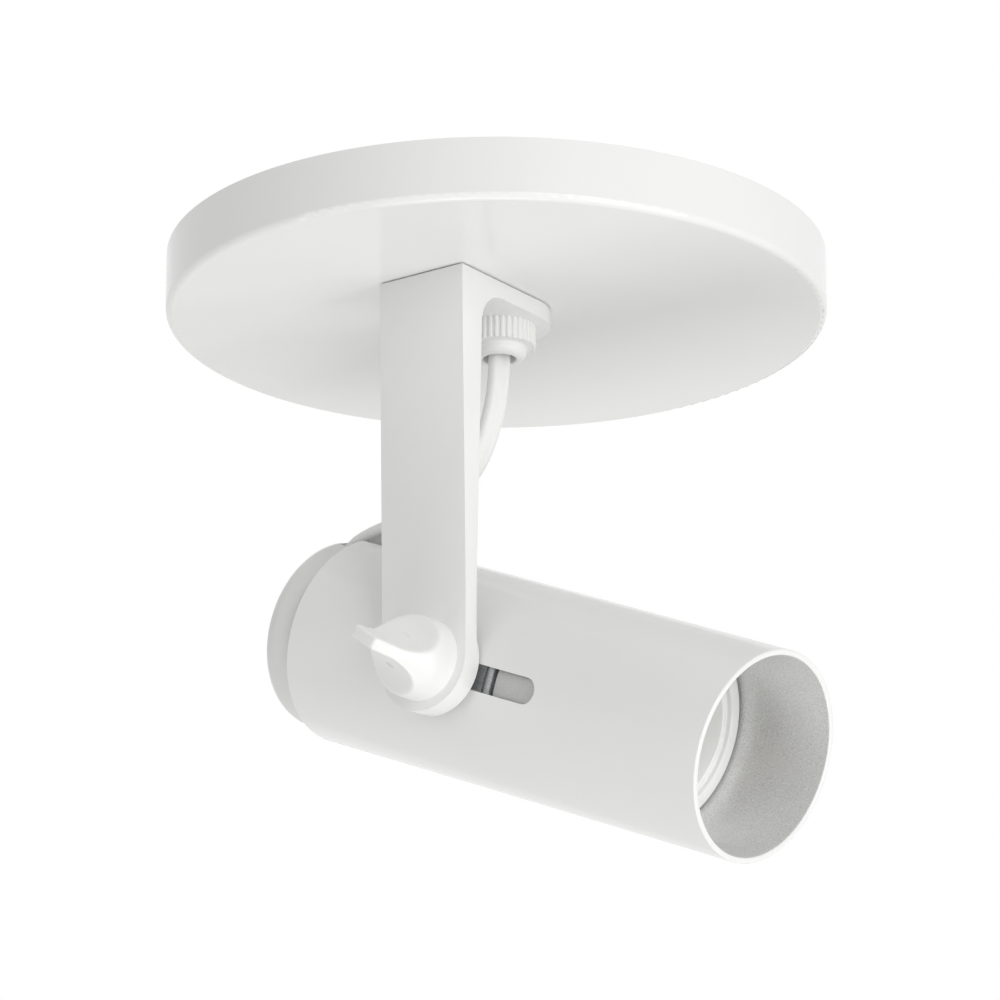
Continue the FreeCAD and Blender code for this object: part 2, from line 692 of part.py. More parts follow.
def make_nipple_and_nuts():
    locknut_bottom = s.canopy_wall + s.wave_washer_height
    nipple_top = locknut_bottom + s.locknut_height + s.nipple_stand
    nipple = ring(s.nipple_radius, s.nipple_bore, gripper_top, nipple_top - gripper_top)
    keep(nipple, "swivel_nipple", ARM_PLACE)

    hexagon = doc.addObject("Part::Prism", "hexagon")
    hexagon.Polygon = 6
    hexagon.setExpression("Circumradius", (s.locknut_flats / math.sqrt(3)).text)
    hexagon.setExpression("Height", s.locknut_height.text)
    hexagon.setExpression("Placement.Base.z", locknut_bottom.text)
    bore = shaft(s.nipple_radius + s.thread_fit, locknut_bottom - 1, s.locknut_height + 2)
    keep(cut(hexagon, bore), "swivel_locknut", ARM_PLACE)

    wave = ring(s.wave_washer_radius, s.nipple_radius + s.thread_fit, s.canopy_wall, s.wave_washer_height)
    keep(wave, "wave_washer", ARM_PLACE)


def make_strain_relief_nut():
    body = turned("nut", [
        (s.nipple_radius + s.thread_fit, flange_bottom), (s.nut_radius, flange_bottom),
        (s.nut_radius, ribs_bottom), (s.nut_ring_radius, ribs_bottom), (s.nut_ring_radius, nut_bottom),
        (s.nut_mouth, nut_bottom), (s.nut_mouth, gripper_bottom),
        (s.nipple_radius + s.thread_fit, gripper_bottom),
    ])
    round_edges(body, s.nut_ring_round, lambda edge: is_ring(edge, s.nut_ring_radius, nut_bottom))
    groove = new_sketch(body, "XY_Plane")
    groove.setExpression("AttachmentOffset.Base.z", flange_bottom.text)
    draw_circle(groove, s.nut_radius, 0, s.nut_groove)
    cutter = pocket(body, groove, s.nut_ribs_height)
    pattern = body.newObject("PartDesign::PolarPattern", "nut_ribs")
    pattern.Originals = [cutter]
    pattern.Axis = (origin_feature(body, "Z_Axis"), [""])
    pattern.Angle = 360
    pattern.setExpression("Occurrences", s.nut_rib_count.text)
    body.Tip = pattern
    doc.recompute()
    keep(body, "strain_relief_nut", ARM_PLACE)

    gripper = ring(s.gripper_radius, s.cord_diameter / 2 + s.thread_fit, gripper_bottom, s.gripper_height)
    keep(gripper, "cord_gripper", ARM_PLACE)


# The cord's route from the nut to the clamp in the cap, from the swivel axis and the pan's lower
# face; its last point is set by the clamp.
CORD_ROUTE = [
    (0.0, 0.0, -8.8),
    (0.0, 0.0, -16.5),
    (-1.9, -0.2, -26.5),
    (-5.6, -1.0, -36.2),
    (-12.4, -2.4, -43.8),
    (-21.8, -4.0, -48.4),
    (-30.4, -5.2, -49.4),
]


def make_cord():
    points = [Vector(*place) for place in CORD_ROUTE]
    points[0].z = gripper_top.value
    clamp_middle = cap_back.value + s.cap_wall.value + s.clamp_depth.value / 2
    seat = -s.clamp_top.value + s.clamp_seat.value
    for down in (-s.clamp_entry.value, seat):
        end = HEAD_PLACE.multVec(Vector(down, -s.cord_side.value, clamp_middle))
        points.append(ARM_PLACE.inverse().multVec(end))
    keep_shape(route_tube(points, s.cord_diameter.value, "power_cord"), "power_cord", ARM_PLACE)


# The head

def make_tube():
    body = new_body("tube")
    section = new_sketch(body, "XY_Plane")
    section.setExpression("AttachmentOffset.Base.z", tube_back.text)
    draw_circle(section, 0, 0, s.tube_radius)
    draw_circle(section, 0, 0, tube_bore)
    pad(body, section, s.tube_length)
    slot = new_sketch(body, "XZ_Plane")
    half_slot = s.slot_width / 2
    rear = -s.stud_shoulder - s.slot_spare
    middle = (s.slot_front + rear) / 2
    half_length = (s.slot_front - rear) / 2 - half_slot
    draw_slot(slot, s.pivot_below, middle, half_length, half_slot)
    pocket(body, slot, s.tube_radius + 1, backwards=True)
    notch = new_sketch(body, "YZ_Plane")
    inner_end = tube_back + s.notch_depth
    arc_middle = inner_end - s.notch_half
    outside = tube_back - s.notch_half * 2
    half_notch = (arc_middle - outside) / 2
    draw_slot(notch, 0, (arc_middle + outside) / 2, half_notch, s.notch_half)
    pocket(body, notch, s.tube_radius + 1)
    round_edges(body, s.notch_round, is_notch_corner)
    keep(body, "tube", HEAD_PLACE)


def is_notch_corner(edge):
    """The short edges where the notch's sides meet the cylinder's back edge."""
    middle = edge.BoundBox.Center
    short = edge.Length < s.tube_wall.value * 1.5
    at_back = abs(middle.z - tube_back.value) < 1e-3
    return short and at_back and middle.x < 0


def make_head_bracket():
    """The cradle: a curved strip in the cylinder's bore, a folded front edge and two cross plates."""
    total = s.cradle_front - cradle_back
    strip = ring(cradle_outer, cradle_inner, cradle_back, total - s.hem_length)
    hem_inner = cradle_outer - s.hem_thickness
    hem_start = s.cradle_front - s.hem_length
    hem = turned("hem", [
        (hem_inner, hem_start), (cradle_outer, hem_start), (cradle_outer, s.cradle_front),
        (hem_inner, s.cradle_front),
    ])
    round_edges(hem, s.hem_round, lambda edge: is_ring(edge, cradle_outer, s.cradle_front))
    round_edges(hem, s.hem_round, lambda edge: is_ring(edge, cradle_outer, hem_start))
    window = block(
        (-s.cradle_half + s.pivot_below, -s.tube_radius, cradle_back - 1),
        (s.cradle_half * 2, s.tube_radius, total + 2),
    )
    plates = []
    for place in (s.plate_place, cradle_back):
        plates.append(block(
            (-s.cradle_half + s.pivot_below, -s.tube_radius, place),
            (s.cradle_half * 2, s.tube_radius + s.plate_reach, s.cradle_sheet),
        ))
    inside = shaft(cradle_outer, cradle_back, total)
    cradle = fuse(common(fuse(strip, hem), window), common(fuse(*plates), inside))
    stud_hole = shaft(s.stud_shoulder + s.thread_fit, 0, s.cradle_sheet * 3, s.pivot_below, -cradle_outer - 1)
    stud_hole.Placement.Rotation = FreeCAD.Rotation(Vector(1, 0, 0), -90)
    screw_holes = [
        shaft(s.holder_screw_radius + s.thread_fit, s.plate_place - 1, s.cradle_sheet + 2, 0, spread)
        for spread in (-s.holder_screw_spread, s.holder_screw_spread)
    ]
    cap_hole = shaft(s.cap_screw_radius + s.thread_fit, cradle_back - 1, s.cradle_sheet + 2)
    keep(cut(cradle, fuse(stud_hole, cap_hole, *screw_holes)), "head_bracket", HEAD_PLACE)


def make_tilt_stud():
    """From the cradle through slot, washer and arm into the knob, along the tilt axis."""
    seat = cradle_inner - s.stud_seat
    head = shaft(s.stud_head, seat - s.stud_head_height, s.stud_head_height)
    shoulder_end = s.tube_radius - s.face_gap
    shoulder = shaft(s.stud_shoulder, seat, shoulder_end - seat)
    thread = shaft(s.stud_radius, shoulder_end, arm_outer + s.stud_reach - shoulder_end)
    keep(fuse(head, shoulder, thread), "tilt_stud", AXLE_PLACE)

    washer_face = s.tube_radius + s.face_gap / 2
    washer = ring(s.friction_radius, s.stud_radius + s.turn_fit, washer_face, s.friction_washer)
    keep(washer, "friction_washer", AXLE_PLACE)


def make_lampholder():
    throat = s.shell_radius + s.shell_fit
    groove_floor = s.holder_front - s.holder_groove_depth
    ring_front = s.holder_front - s.holder_ring_step
    body = turned("lampholder", [
        (0, plate_front), (s.holder_rear_radius, plate_front), (s.holder_rear_radius, s.holder_step),
        (holder_radius, s.holder_step), (holder_radius, s.holder_front),
        (s.holder_groove_outer, s.holder_front), (s.holder_groove_outer, groove_floor),
        (s.holder_groove_inner, groove_floor), (s.holder_groove_inner, ring_front),
        (s.holder_ring_inner, ring_front), (throat, s.holder_front - s.holder_throat_depth),
        (throat, holder_floor), (0, holder_floor),
    ])
    round_edges(body, s.holder_edge, lambda edge: is_ring(edge, holder_radius, s.holder_front))
    holes = new_sketch(body, "XY_Plane")
    holes.setExpression("AttachmentOffset.Base.z", plate_front.text)
    for spread in (-s.holder_screw_spread, s.holder_screw_spread):
        draw_circle(holes, 0, spread, s.holder_screw_radius + s.thread_fit)
    pocket(body, holes, s.holder_screw_length - s.cradle_sheet, backwards=True)
    keep(body, "lampholder", HEAD_PLACE)


def make_screw_shell():
    """Rolled threads stand for the helix of the lamp's screw shell."""
    crest = s.shell_radius
    valley = crest - s.shell_thread
    outer = []
    inner = []
    for turn in range(int(s.shell_turns.value)):
        foot = holder_floor + s.shell_sheet + s.shell_pitch * turn
        outer += [(valley, foot), (crest, foot + s.shell_pitch / 2)]
        inner += [(valley - s.shell_sheet, foot), (crest - s.shell_sheet, foot + s.shell_pitch / 2)]
    top = holder_floor + s.shell_sheet + s.shell_pitch * s.shell_turns
    outer.append((valley, top))
    inner.append((valley - s.shell_sheet, top))
    floor_top = holder_floor + s.shell_sheet
    base = [(s.shell_floor_hole, floor_top), (s.shell_floor_hole, holder_floor), (valley, holder_floor)]
    floor = [(valley - s.shell_sheet, floor_top)]
    profile = base + outer + list(reversed(inner))[:-1] + floor
    keep(turned("screw_shell", profile), "screw_shell", HEAD_PLACE)


def make_contact():
    """A springy brass tongue on the floor of the lampholder, held by a rivet."""
    width = s.contact_width
    bend = -s.contact_start
    foot = block((-width / 2, bend - s.contact_foot, holder_floor), (width, s.contact_foot, s.contact_sheet))
    rise = block((-width / 2, bend, holder_floor), (width, s.contact_bend, s.contact_sheet * 2))
    tongue_place = (-width / 2, bend, holder_floor + s.contact_sheet)
    tongue = block(tongue_place, (width, s.contact_length, s.contact_sheet))
    tongue.Placement.Rotation = FreeCAD.Rotation(Vector(1, 0, 0), s.contact_lift.value)
    rivet_place = bend - s.rivet_from_bend
    hole = shaft(s.rivet_radius / 2 + s.thread_fit, holder_floor - 1, s.contact_sheet * 2 + 2, 0, rivet_place)
    keep(cut(fuse(foot, rise, tongue), hole), "centre_contact", HEAD_PLACE)
    head = shaft(s.rivet_radius, holder_floor + s.contact_sheet, s.rivet_head, 0, rivet_place)
    shank = shaft(s.rivet_radius / 2, holder_floor, s.contact_sheet, 0, rivet_place)
    keep(fuse(head, shank), "contact_rivet", HEAD_PLACE)


def make_holder_screws():
    screws = []
    for spread in (-s.holder_screw_spread, s.holder_screw_spread):
        head_bottom = s.plate_place - s.holder_screw_head_height
        head = shaft(s.holder_screw_head, head_bottom, s.holder_screw_head_height, 0, spread)
        thread = shaft(s.holder_screw_radius, s.plate_place, s.holder_screw_length, 0, spread)
        screws.append(fuse(head, thread))
    group = doc.addObject("Part::Compound", "screws")
    group.Links = screws
    keep(group, "lampholder_screws", HEAD_PLACE)


def make_rear_cap():
    inner = cap_radius - s.cap_wall
    body = turned("rear_cap", [
        (0, cap_back), (cap_radius, cap_back), (cap_radius, cap_front), (inner, cap_front),
        (inner, cap_back + s.cap_wall), (0, cap_back + s.cap_wall),
    ])
    round_edges(body, s.cap_round, lambda edge: is_ring(edge, cap_radius, cap_back))
    round_edges(body, s.cap_round - s.cap_wall, lambda edge: is_ring(edge, inner, cap_back + s.cap_wall))
    notch = new_sketch(body, "YZ_Plane")
    rear_arc = cap_back + s.cap_notch_margin + s.cap_notch_half
    front_arc = cap_front + s.cap_notch_half * 2
    middle = (front_arc + rear_arc) / 2
    draw_slot(notch, -s.cord_side, middle, (front_arc - rear_arc) / 2, s.cap_notch_half)
    pocket(body, notch, cap_radius + 1)
    hole = new_sketch(body, "XY_Plane")
    hole.setExpression("AttachmentOffset.Base.z", (cap_back + s.cap_wall).text)
    draw_circle(hole, 0, 0, s.cap_screw_radius + s.turn_fit)
    pocket(body, hole, s.cap_wall)
    keep(body, "rear_cap", HEAD_PLACE)


def make_cap_screw():
    head = shaft(s.cap_screw_head, cap_back - s.cap_screw_head_height, s.cap_screw_head_height)
    reach = cradle_back + s.cradle_sheet + 1 - cap_back
    thread = shaft(s.cap_screw_radius, cap_back, reach)
    slot_depth = s.cap_screw_head_height / 2
    driver = block(
        (-s.cap_screw_head, -s.driver_slot / 2, cap_back - s.cap_screw_head_height),
        (s.cap_screw_head * 2, s.driver_slot, slot_depth),
    )
    keep(cut(fuse(head, thread), driver), "cap_screw", HEAD_PLACE)


def make_cord_clamp():
    middle = cap_back + s.cap_wall + s.clamp_depth / 2
    clamp = block(
        (-s.clamp_top, -s.cord_side - s.clamp_width / 2, cap_back + s.cap_wall),
        (s.clamp_height, s.clamp_width, s.clamp_depth),
    )
    seat = shaft(s.cord_diameter / 2 + s.thread_fit, 0, s.clamp_seat + 1)
    seat.setExpression("Placement.Base.x", (-s.clamp_top - 1).text)
    seat.setExpression("Placement.Base.y", (-s.cord_side).text)
    seat.setExpression("Placement.Base.z", middle.text)
    seat.Placement.Rotation = FreeCAD.Rotation(Vector(0, 1, 0), 90)
    keep(cut(clamp, seat), "cord_clamp", HEAD_PLACE)


def make_holder_leads():
    """Two leads from the cord's clamp forward to the back of the lampholder."""
    front = plate_front.value
    clamp_front = cap_back.value + s.cap_wall.value + s.clamp_depth.value
    leads = []
    for sign in (-1, 1):
        side = -s.cord_side.value + 2.0 * sign
        spread = 13.0 * sign
        points = [
            Vector(-6.6, side, clamp_front), Vector(-6.6, side, clamp_front + 6.0),
            Vector(-12.0, side * 0.4, -32.0), Vector(-14.5, spread * 0.15, -20.0),
            Vector(-12.9, spread * 0.25, -8.0), Vector(-12.9, spread * 0.25, front),
        ]
        leads.append(route_tube(points, s.lead_diameter.value, "lampholder lead"))
    keep_shape(Part.makeCompound(leads), "lampholder_leads", HEAD_PLACE)


# The knob, in the tilt axis's own frame, where Z runs outwards

def make_knob():
    start = arm_outer + s.face_gap
    shoulder = start + s.knob_base
    tip = arm_outer + s.knob_reach
    neck = tip - s.knob_neck_drop
    body = turned("knob", [
        (0, start), (s.knob_radius, start), (s.knob_radius, shoulder), (s.knob_neck, neck),
        (s.knob_tip_radius, tip), (0, tip),
    ])
    round_edges(body, s.knob_shoulder, lambda edge: is_ring(edge, s.knob_radius, shoulder))
    round_edges(body, s.knob_neck_round, lambda edge: is_ring(edge, s.knob_neck, neck))
    scoops = new_sketch(body, "XZ_Plane")
    far = s.knob_waist + s.knob_scoop
    straight = s.knob_reach - s.knob_scoop_place
    for side in (-1, 1):
        draw_slot(scoops, far * side, tip, straight, s.knob_scoop)
    pocket(body, scoops, s.knob_radius * 3, middle=True)
    cavity = new_sketch(body, "XY_Plane")
    cavity.setExpression("AttachmentOffset.Base.z", start.text)
    draw_circle(cavity, 0, 0, s.insert_radius + s.thread_fit)
    pocket(body, cavity, s.knob_washer_height + s.insert_length + s.insert_spare, backwards=True)
    recess = new_sketch(body, "XY_Plane")
    recess.setExpression("AttachmentOffset.Base.z", start.text)
    draw_circle(recess, 0, 0, s.knob_washer_radius + s.thread_fit)
    pocket(body, recess, s.knob_washer_height, backwards=True)
    blade = FreeCAD.Rotation(Vector(0, 0, 1), 90 - s.knob_turned.value)
    place = FreeCAD.Placement(AXLE_PLACE.Base, AXLE_PLACE.Rotation.multiply(blade))
    keep(body, "thumb_knob", place)

    washer = ring(s.knob_washer_radius, s.stud_radius + s.turn_fit, start, s.knob_washer_height)
    keep(washer, "knob_washer", AXLE_PLACE)
    insert_start = start + s.knob_washer_height
    insert = ring(s.insert_radius, s.stud_radius + s.turn_fit, insert_start, s.insert_length)
    keep(insert, "knob_insert", AXLE_PLACE)


def check_and_write():
    """Refuses a failed object, then writes each sub-part."""
    doc.recompute()
    for item in doc.Objects:
        if "Invalid" in item.State or "Error" in item.State:
            raise RuntimeError(f"{item.Label} failed: {item.State}")
    os.makedirs("parts", exist_ok=True)
    for part in parts:
        if part.Shape.isNull() or not part.Shape.isValid():
            raise RuntimeError(f"{part.Label} has no valid shape")
        part.Shape.exportStep(f"parts/{part.Label}.step")
    print(len(parts), "sub-parts written")


make_canopy()
make_crossbar()
make_canopy_hook()
make_small_canopy_parts()
make_leads()
make_arm()
make_nipple_and_nuts()
make_strain_relief_nut()
make_cord()
make_tube()
make_head_bracket()
make_tilt_stud()
make_lampholder()
make_screw_shell()
make_contact()
make_holder_screws()
make_rear_cap()
make_cap_screw()
make_cord_clamp()
make_holder_leads()
make_knob()
check_and_write()
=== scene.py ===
"""Looks of a white ceiling spotlight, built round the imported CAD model.

A round pan on the ceiling carries an L-shaped arm. An open-fronted cylinder with a medium-base
lampholder tilts and slides at the arm's foot, held by a thumb knob. Metres, in the CAD frame.
"""

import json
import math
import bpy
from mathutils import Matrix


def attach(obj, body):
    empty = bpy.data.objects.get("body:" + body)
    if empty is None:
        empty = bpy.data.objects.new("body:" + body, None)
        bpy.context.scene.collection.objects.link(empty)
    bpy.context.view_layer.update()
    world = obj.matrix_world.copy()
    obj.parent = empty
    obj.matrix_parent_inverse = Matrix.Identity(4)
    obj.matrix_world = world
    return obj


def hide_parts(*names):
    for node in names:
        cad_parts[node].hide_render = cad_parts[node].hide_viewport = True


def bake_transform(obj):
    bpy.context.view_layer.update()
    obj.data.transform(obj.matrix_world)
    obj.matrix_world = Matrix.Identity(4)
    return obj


bl_info = {
    "name": "Ceiling spotlight looks",
    "version": (1, 0, 0),
    "blender": (4, 5, 0),
    "location": "View3D > Sidebar > Spotlight",
    "description": "Builds the visible pieces and finishes of a surface mounted ceiling spotlight",
    "category": "Object",
}

import bmesh
import bpy
from mathutils import Matrix, Vector

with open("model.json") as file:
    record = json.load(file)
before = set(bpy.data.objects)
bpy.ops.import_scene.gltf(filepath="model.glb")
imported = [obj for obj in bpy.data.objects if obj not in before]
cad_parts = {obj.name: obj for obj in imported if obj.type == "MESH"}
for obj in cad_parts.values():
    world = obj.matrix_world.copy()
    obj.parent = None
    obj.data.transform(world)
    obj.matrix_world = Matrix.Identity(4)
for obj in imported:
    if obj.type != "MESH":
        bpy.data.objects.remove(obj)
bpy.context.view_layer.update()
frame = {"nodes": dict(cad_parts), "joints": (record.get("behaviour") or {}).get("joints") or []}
JOINTS = {joint["name"]: joint for joint in frame["joints"]}
MM = 0.001

# Places

AHEAD = Vector(JOINTS["tube_slide"]["axis"]).normalized()
UP = Vector((-AHEAD.z, 0, AHEAD.x))
PIVOT = Vector(JOINTS["head_tilt"]["pos_m"])
SWIVEL = Vector(JOINTS["arm_swivel"]["pos_m"])


def place_of(origin, across, along, out):
    """A place in the CAD frame from its origin and its X, Y and Z directions."""
    turn = Matrix((across, along, out)).transposed().to_4x4()
    return Matrix.Translation(origin) @ turn


def head_place(sizes):
    """In the head, Z runs forward along the cylinder, X down and Y away from the arm."""
    return place_of(PIVOT + UP * sizes.pivot_below, -UP, Vector((0, 1, 0)), AHEAD)


ARM_PLACE = Matrix.Translation(SWIVEL)
# Across the tilt axis, Z runs outwards through the arm and Y up.
AXLE_PLACE = place_of(PIVOT, Vector((1, 0, 0)), Vector((0, 0, 1)), Vector((0, -1, 0)))


# Properties

def linear(code):
    """An sRGB hex colour as linear values."""
    shades = [int(code[start:start + 2], 16) / 255 for start in (1, 3, 5)]
    return tuple(c / 12.92 if c <= 0.04045 else ((c + 0.055) / 1.055) ** 2.4 for c in shades)


def colour(code, name, meaning):
    return bpy.props.FloatVectorProperty(
        name=name, description=meaning, default=linear(code), subtype="COLOR", size=3, min=0, max=1)


def length(value, name, meaning):
    return bpy.props.FloatProperty(
        name=name, description=meaning, default=value * MM, unit="LENGTH", precision=5)


class SpotlightHeadSizes(bpy.types.PropertyGroup):
    """Sizes of the cylinder and what shows in its mouth."""

    pivot_below: length(2.1, "Pivot below", "Tilt axis below the cylinder's centre line")
    tube_radius: length(23.8, "Tube radius", "Cylinder, outside")
    tube_wall: length(1.35, "Tube wall", "Cylinder's wall")
    tube_front: length(75.4, "Tube front", "Cylinder's front edge ahead of the tilt axis")
    tube_length: length(120.4, "Tube length", "Cylinder")
    rim_round: length(0.4, "Rim rounding", "Rounding of the cylinder's painted edges")
    slot_width: length(6.0, "Slot width", "Side slot")
    slot_front: length(28.0, "Slot front", "Front end of the side slot")
    slot_rear: length(-3.27, "Slot rear", "Rear end of the side slot")
    notch_half: length(9.8, "Notch half width", "Notch at the cylinder's back")
    notch_depth: length(30.0, "Notch depth", "Notch at the cylinder's back")
    holder_radius: length(21.9, "Holder radius", "Lampholder's front part")
    holder_rear: length(16.5, "Holder rear radius", "Lampholder's rear part")
    holder_front: length(50.6, "Holder front", "Lampholder's front face")
    holder_step: length(14.9, "Holder step", "Rear face of the lampholder's front part")
    holder_back: length(7.2, "Holder back", "Lampholder's rear face")
    holder_floor: length(21.7, "Holder floor", "Floor under the screw shell")
    shell_radius: length(13.4, "Shell radius", "Crest of the screw shell's thread")
    shell_pitch: length(3.6, "Shell pitch", "Screw shell's thread, seven turns to the inch")
    shell_thread: length(0.8, "Shell thread", "Depth of the screw shell's thread")
    shell_sheet: length(0.35, "Shell sheet", "Screw shell's metal")


class SpotlightSmallSizes(bpy.types.PropertyGroup):
    """Sizes of the arm's edges, the nut, the knob, the cord and the leads."""

    arm_edge: length(0.4, "Arm edge", "Rounding of the arm's painted edges")
    nut_radius: length(8.3, "Nut radius", "Over the nut's ribs")
    nut_ribs_height: length(5.1, "Ribs height", "Ribbed part of the nut")
    nut_ring_radius: length(6.1, "Ring radius", "Domed ring under the ribs")
    nut_ring_height: length(2.7, "Ring height", "Domed ring under the ribs")
    nut_mouth: length(3.8, "Nut mouth", "Where the cord comes out")
    flange_bottom: length(-4.2, "Flange bottom", "Arm's flange below the pan")
    cord_width: length(5.3, "Cord width", "Across both conductors of the flat cord")
    cord_thickness: length(3.1, "Cord thickness", "Over one conductor")
    knob_start: length(29.4, "Knob start", "Knob's foot from the cylinder's centre line")
    knob_radius: length(9.3, "Knob radius", "Thumb knob's base")
    knob_base: length(6.8, "Knob base", "Height of the knob's base up to its shoulder")
    knob_shoulder: length(11.0, "Knob shoulder", "Rounding of the knob's shoulder")
    knob_neck: length(4.7, "Knob neck", "Half width of the blade at its neck")
    knob_neck_place: length(15.55, "Neck place", "Neck above the knob's foot")
    knob_neck_round: length(14.0, "Neck rounding", "Rounding of the neck")
    knob_reach: length(21.95, "Knob reach", "Thumb knob's height")
    knob_tip: length(3.8, "Knob tip", "Half width of the knob's tip")
    knob_edge: length(0.9, "Knob edge", "Rounding of the blade's tip")
    knob_crease: length(0.9, "Knob crease", "Softening between the dome and the scoops")
    knob_waist: length(1.5, "Knob waist", "Half thickness of the knob's blade")
    knob_scoop: length(11.0, "Knob scoop", "Radius of the scoops' rounded ends")
    knob_scoop_place: length(15.55, "Scoop place", "Middle of the scoops' ends above the knob's foot")
    knob_turned: bpy.props.FloatProperty(
        name="Knob turned", description="Knob's blade turned from level",
        default=math.radians(38), subtype="ANGLE")
    lead_diameter: length(2.2, "Lead diameter", "Insulated lead")


class SpotlightColours(bpy.types.PropertyGroup):
    """Colours of the finishes."""

    paint: colour("#F3F3F2", "Paint", "Gloss white powder coat of the pan, the arm and the cylinder")
    nylon: colour("#F5F5F3", "Nylon", "Moulded knob and nut")
    # Greyer than the paint: painted shade on the rear cap.
    cap: colour("#E4E4E3", "Cap", "Moulded rear cap")
    porcelain: colour("#FAFAF8", "Lampholder", "Glossy white thermoset")
    jacket: colour("#F2F2F0", "Cord", "Soft PVC of the cord")
    silver: colour("#F4F4F3", "Silver", "Metallic paint in the cylinder's bore")
    zinc: colour("#C4C6C8", "Zinc", "Zinc plate on steel")
    brass: colour("#A98F5E", "Brass", "Contact, rivet and insert")


# Finishes

def add_node(tree, kind, inputs=(), **settings):
    """Adds a node, sets its properties, and gives its inputs values or links."""
    node = tree.nodes.new(kind)
    for name, value in settings.items():
        setattr(node, name, value)
    for name, value in dict(inputs).items():
        if isinstance(value, bpy.types.NodeSocket):
            tree.links.new(value, node.inputs[name])
        else:
            node.inputs[name].default_value = value
    return node


def rgba(shade, level=1.0):
    return (*[c * level for c in shade], 1.0)


def make_finish(
        name, shade, roughness, grain, depth, metallic=0.0, mottle=0.97, spread=0.06, speckle=1.0):
    """A surface with a fine grain of a size and depth in millimetres.

    Shade falls slowly to its mottle share and back, and roughness changes by the spread. A speckle
    under 1 darkens the shade in the grain's hollows."""
    material = bpy.data.materials.new(name)
    material.use_nodes = True
    tree = material.node_tree
    tree.nodes.clear()
    place = add_node(tree, "ShaderNodeTexCoord")
    fine = add_node(tree, "ShaderNodeTexNoise", {
        "Vector": place.outputs["Object"], "Scale": 1 / (grain * MM), "Detail": 3.0, "Roughness": 0.55})
    slow = add_node(tree, "ShaderNodeTexNoise", {
        "Vector": place.outputs["Object"], "Scale": 1 / (grain * MM * 14), "Detail": 2.0})
    tone = add_node(tree, "ShaderNodeMix", {
        0: slow.outputs["Fac"], 6: rgba(shade), 7: rgba(shade, mottle)}, data_type="RGBA")
    flake = add_node(tree, "ShaderNodeMapRange", {
        "Value": fine.outputs["Fac"], "From Min": 0.35, "From Max": 0.65, "To Min": speckle, "To Max": 1.0})
    shown = add_node(tree, "ShaderNodeVectorMath", {
        0: tone.outputs[2], "Scale": flake.outputs["Result"]}, operation="SCALE")
    gloss = add_node(tree, "ShaderNodeMapRange", {
        "Value": slow.outputs["Fac"], "From Min": 0.3, "From Max": 0.7,
        "To Min": roughness - spread / 2, "To Max": roughness + spread / 2})
    bump = add_node(tree, "ShaderNodeBump", {
        "Height": fine.outputs["Fac"], "Strength": 0.6, "Distance": depth * MM})
    shader = add_node(tree, "ShaderNodeBsdfPrincipled", {
        "Base Color": shown.outputs["Vector"], "Roughness": gloss.outputs["Result"],
        "Metallic": metallic, "Normal": bump.outputs["Normal"]})
    add_node(tree, "ShaderNodeOutputMaterial", {"Surface": shader.outputs["BSDF"]})
    return material


def make_finishes(shades):
    """Every finish of the object by its short name."""
    return {
        # Baked powder coat: gloss with a faint orange peel, about 1.5 mm from crest to crest.
        "powder_coat": make_finish(
            "powder_coat_gloss_white", shades.paint, 0.12, 1.5, 0.003, spread=0.04),
        # Moulded nylon: a soft sheen, with faint flow marks.
        "nylon": make_finish("nylon_moulded_white", shades.nylon, 0.36, 0.5, 0.003),
        # Moulded cap: the same with a finer grain, and a little greyer, which is painted shade for the shade
        # that falls on the cap.
        "cap": make_finish("abs_moulded_white", shades.cap, 0.34, 0.4, 0.003),
        # Pressed thermoset: hard and glossy.
        "thermoset": make_finish("urea_thermoset_white", shades.porcelain, 0.18, 0.8, 0.002),
        # PVC of the cord: soft and nearly matt.
        "jacket": make_finish("pvc_jacket_white", shades.jacket, 0.42, 0.6, 0.006),
        # Metallic silver paint: its flakes show as a grain of about 0.3 mm.
        "silver": make_finish(
            "silver_flake_paint", shades.silver, 0.34, 0.3, 0.03, metallic=0.3, spread=0.1, speckle=0.72),
        # The lampholder's side, seen in the slot: satin grey with a faint grain, partly a grey sleeve and
        # partly painted shade that keeps it dim inside the slot.
        "sleeve": make_finish(
            "grey_satin_sleeve_and_slot_shade", linear("#D2D2D1"), 0.45, 0.4, 0.006, metallic=0.2, mottle=0.93,
            spread=0.1, speckle=0.9),
        # Zinc plate on steel: cool grey with clouds.
        "zinc": make_finish(
            "zinc_plated_steel", shades.zinc, 0.4, 0.3, 0.006, metallic=0.55, mottle=0.85,
            spread=0.16, speckle=0.6),
        # Zinc plate dyed green, for the ground screw.
        "green_zinc": make_finish(
            "green_zinc_steel", linear("#3E8F55"), 0.36, 0.3, 0.004, metallic=0.8, mottle=0.85),
        # Nickel on brass: bright and slightly warm, with drawing marks.
        "nickel": make_finish(
            "nickel_plated_brass", linear("#CFCBC2"), 0.24, 0.25, 0.003, metallic=1.0, mottle=0.9),
        # Half-hard brass sheet and turned brass.
        "brass": make_finish(
            "brass_bare", shades.brass, 0.3, 0.3, 0.003, metallic=1.0, mottle=0.85, spread=0.12),
        # Vulcanised fibre: matt black with a papery grain.
        "fibre": make_finish("vulcanised_fibre_black", linear("#232323"), 0.7, 0.4, 0.01, mottle=0.8),
        # Rubber: matt grey.
        "rubber": make_finish("rubber_grey", linear("#8A8A88"), 0.65, 0.5, 0.006, mottle=0.9),
        # PVC of the single leads.
        "lead_black": make_finish("pvc_lead_black", linear("#1C1C1D"), 0.4, 0.4, 0.003, mottle=0.85),
        "lead_white": make_finish("pvc_lead_white", linear("#ECECEA"), 0.4, 0.4, 0.003),
        "lead_green": make_finish("pvc_lead_green", linear("#2F8E4A"), 0.4, 0.4, 0.003),
        # Polypropylene of the twist-on connectors: waxy orange.
        "connector": make_finish("polypropylene_orange", linear("#D9772A"), 0.38, 0.5, 0.004),
    }


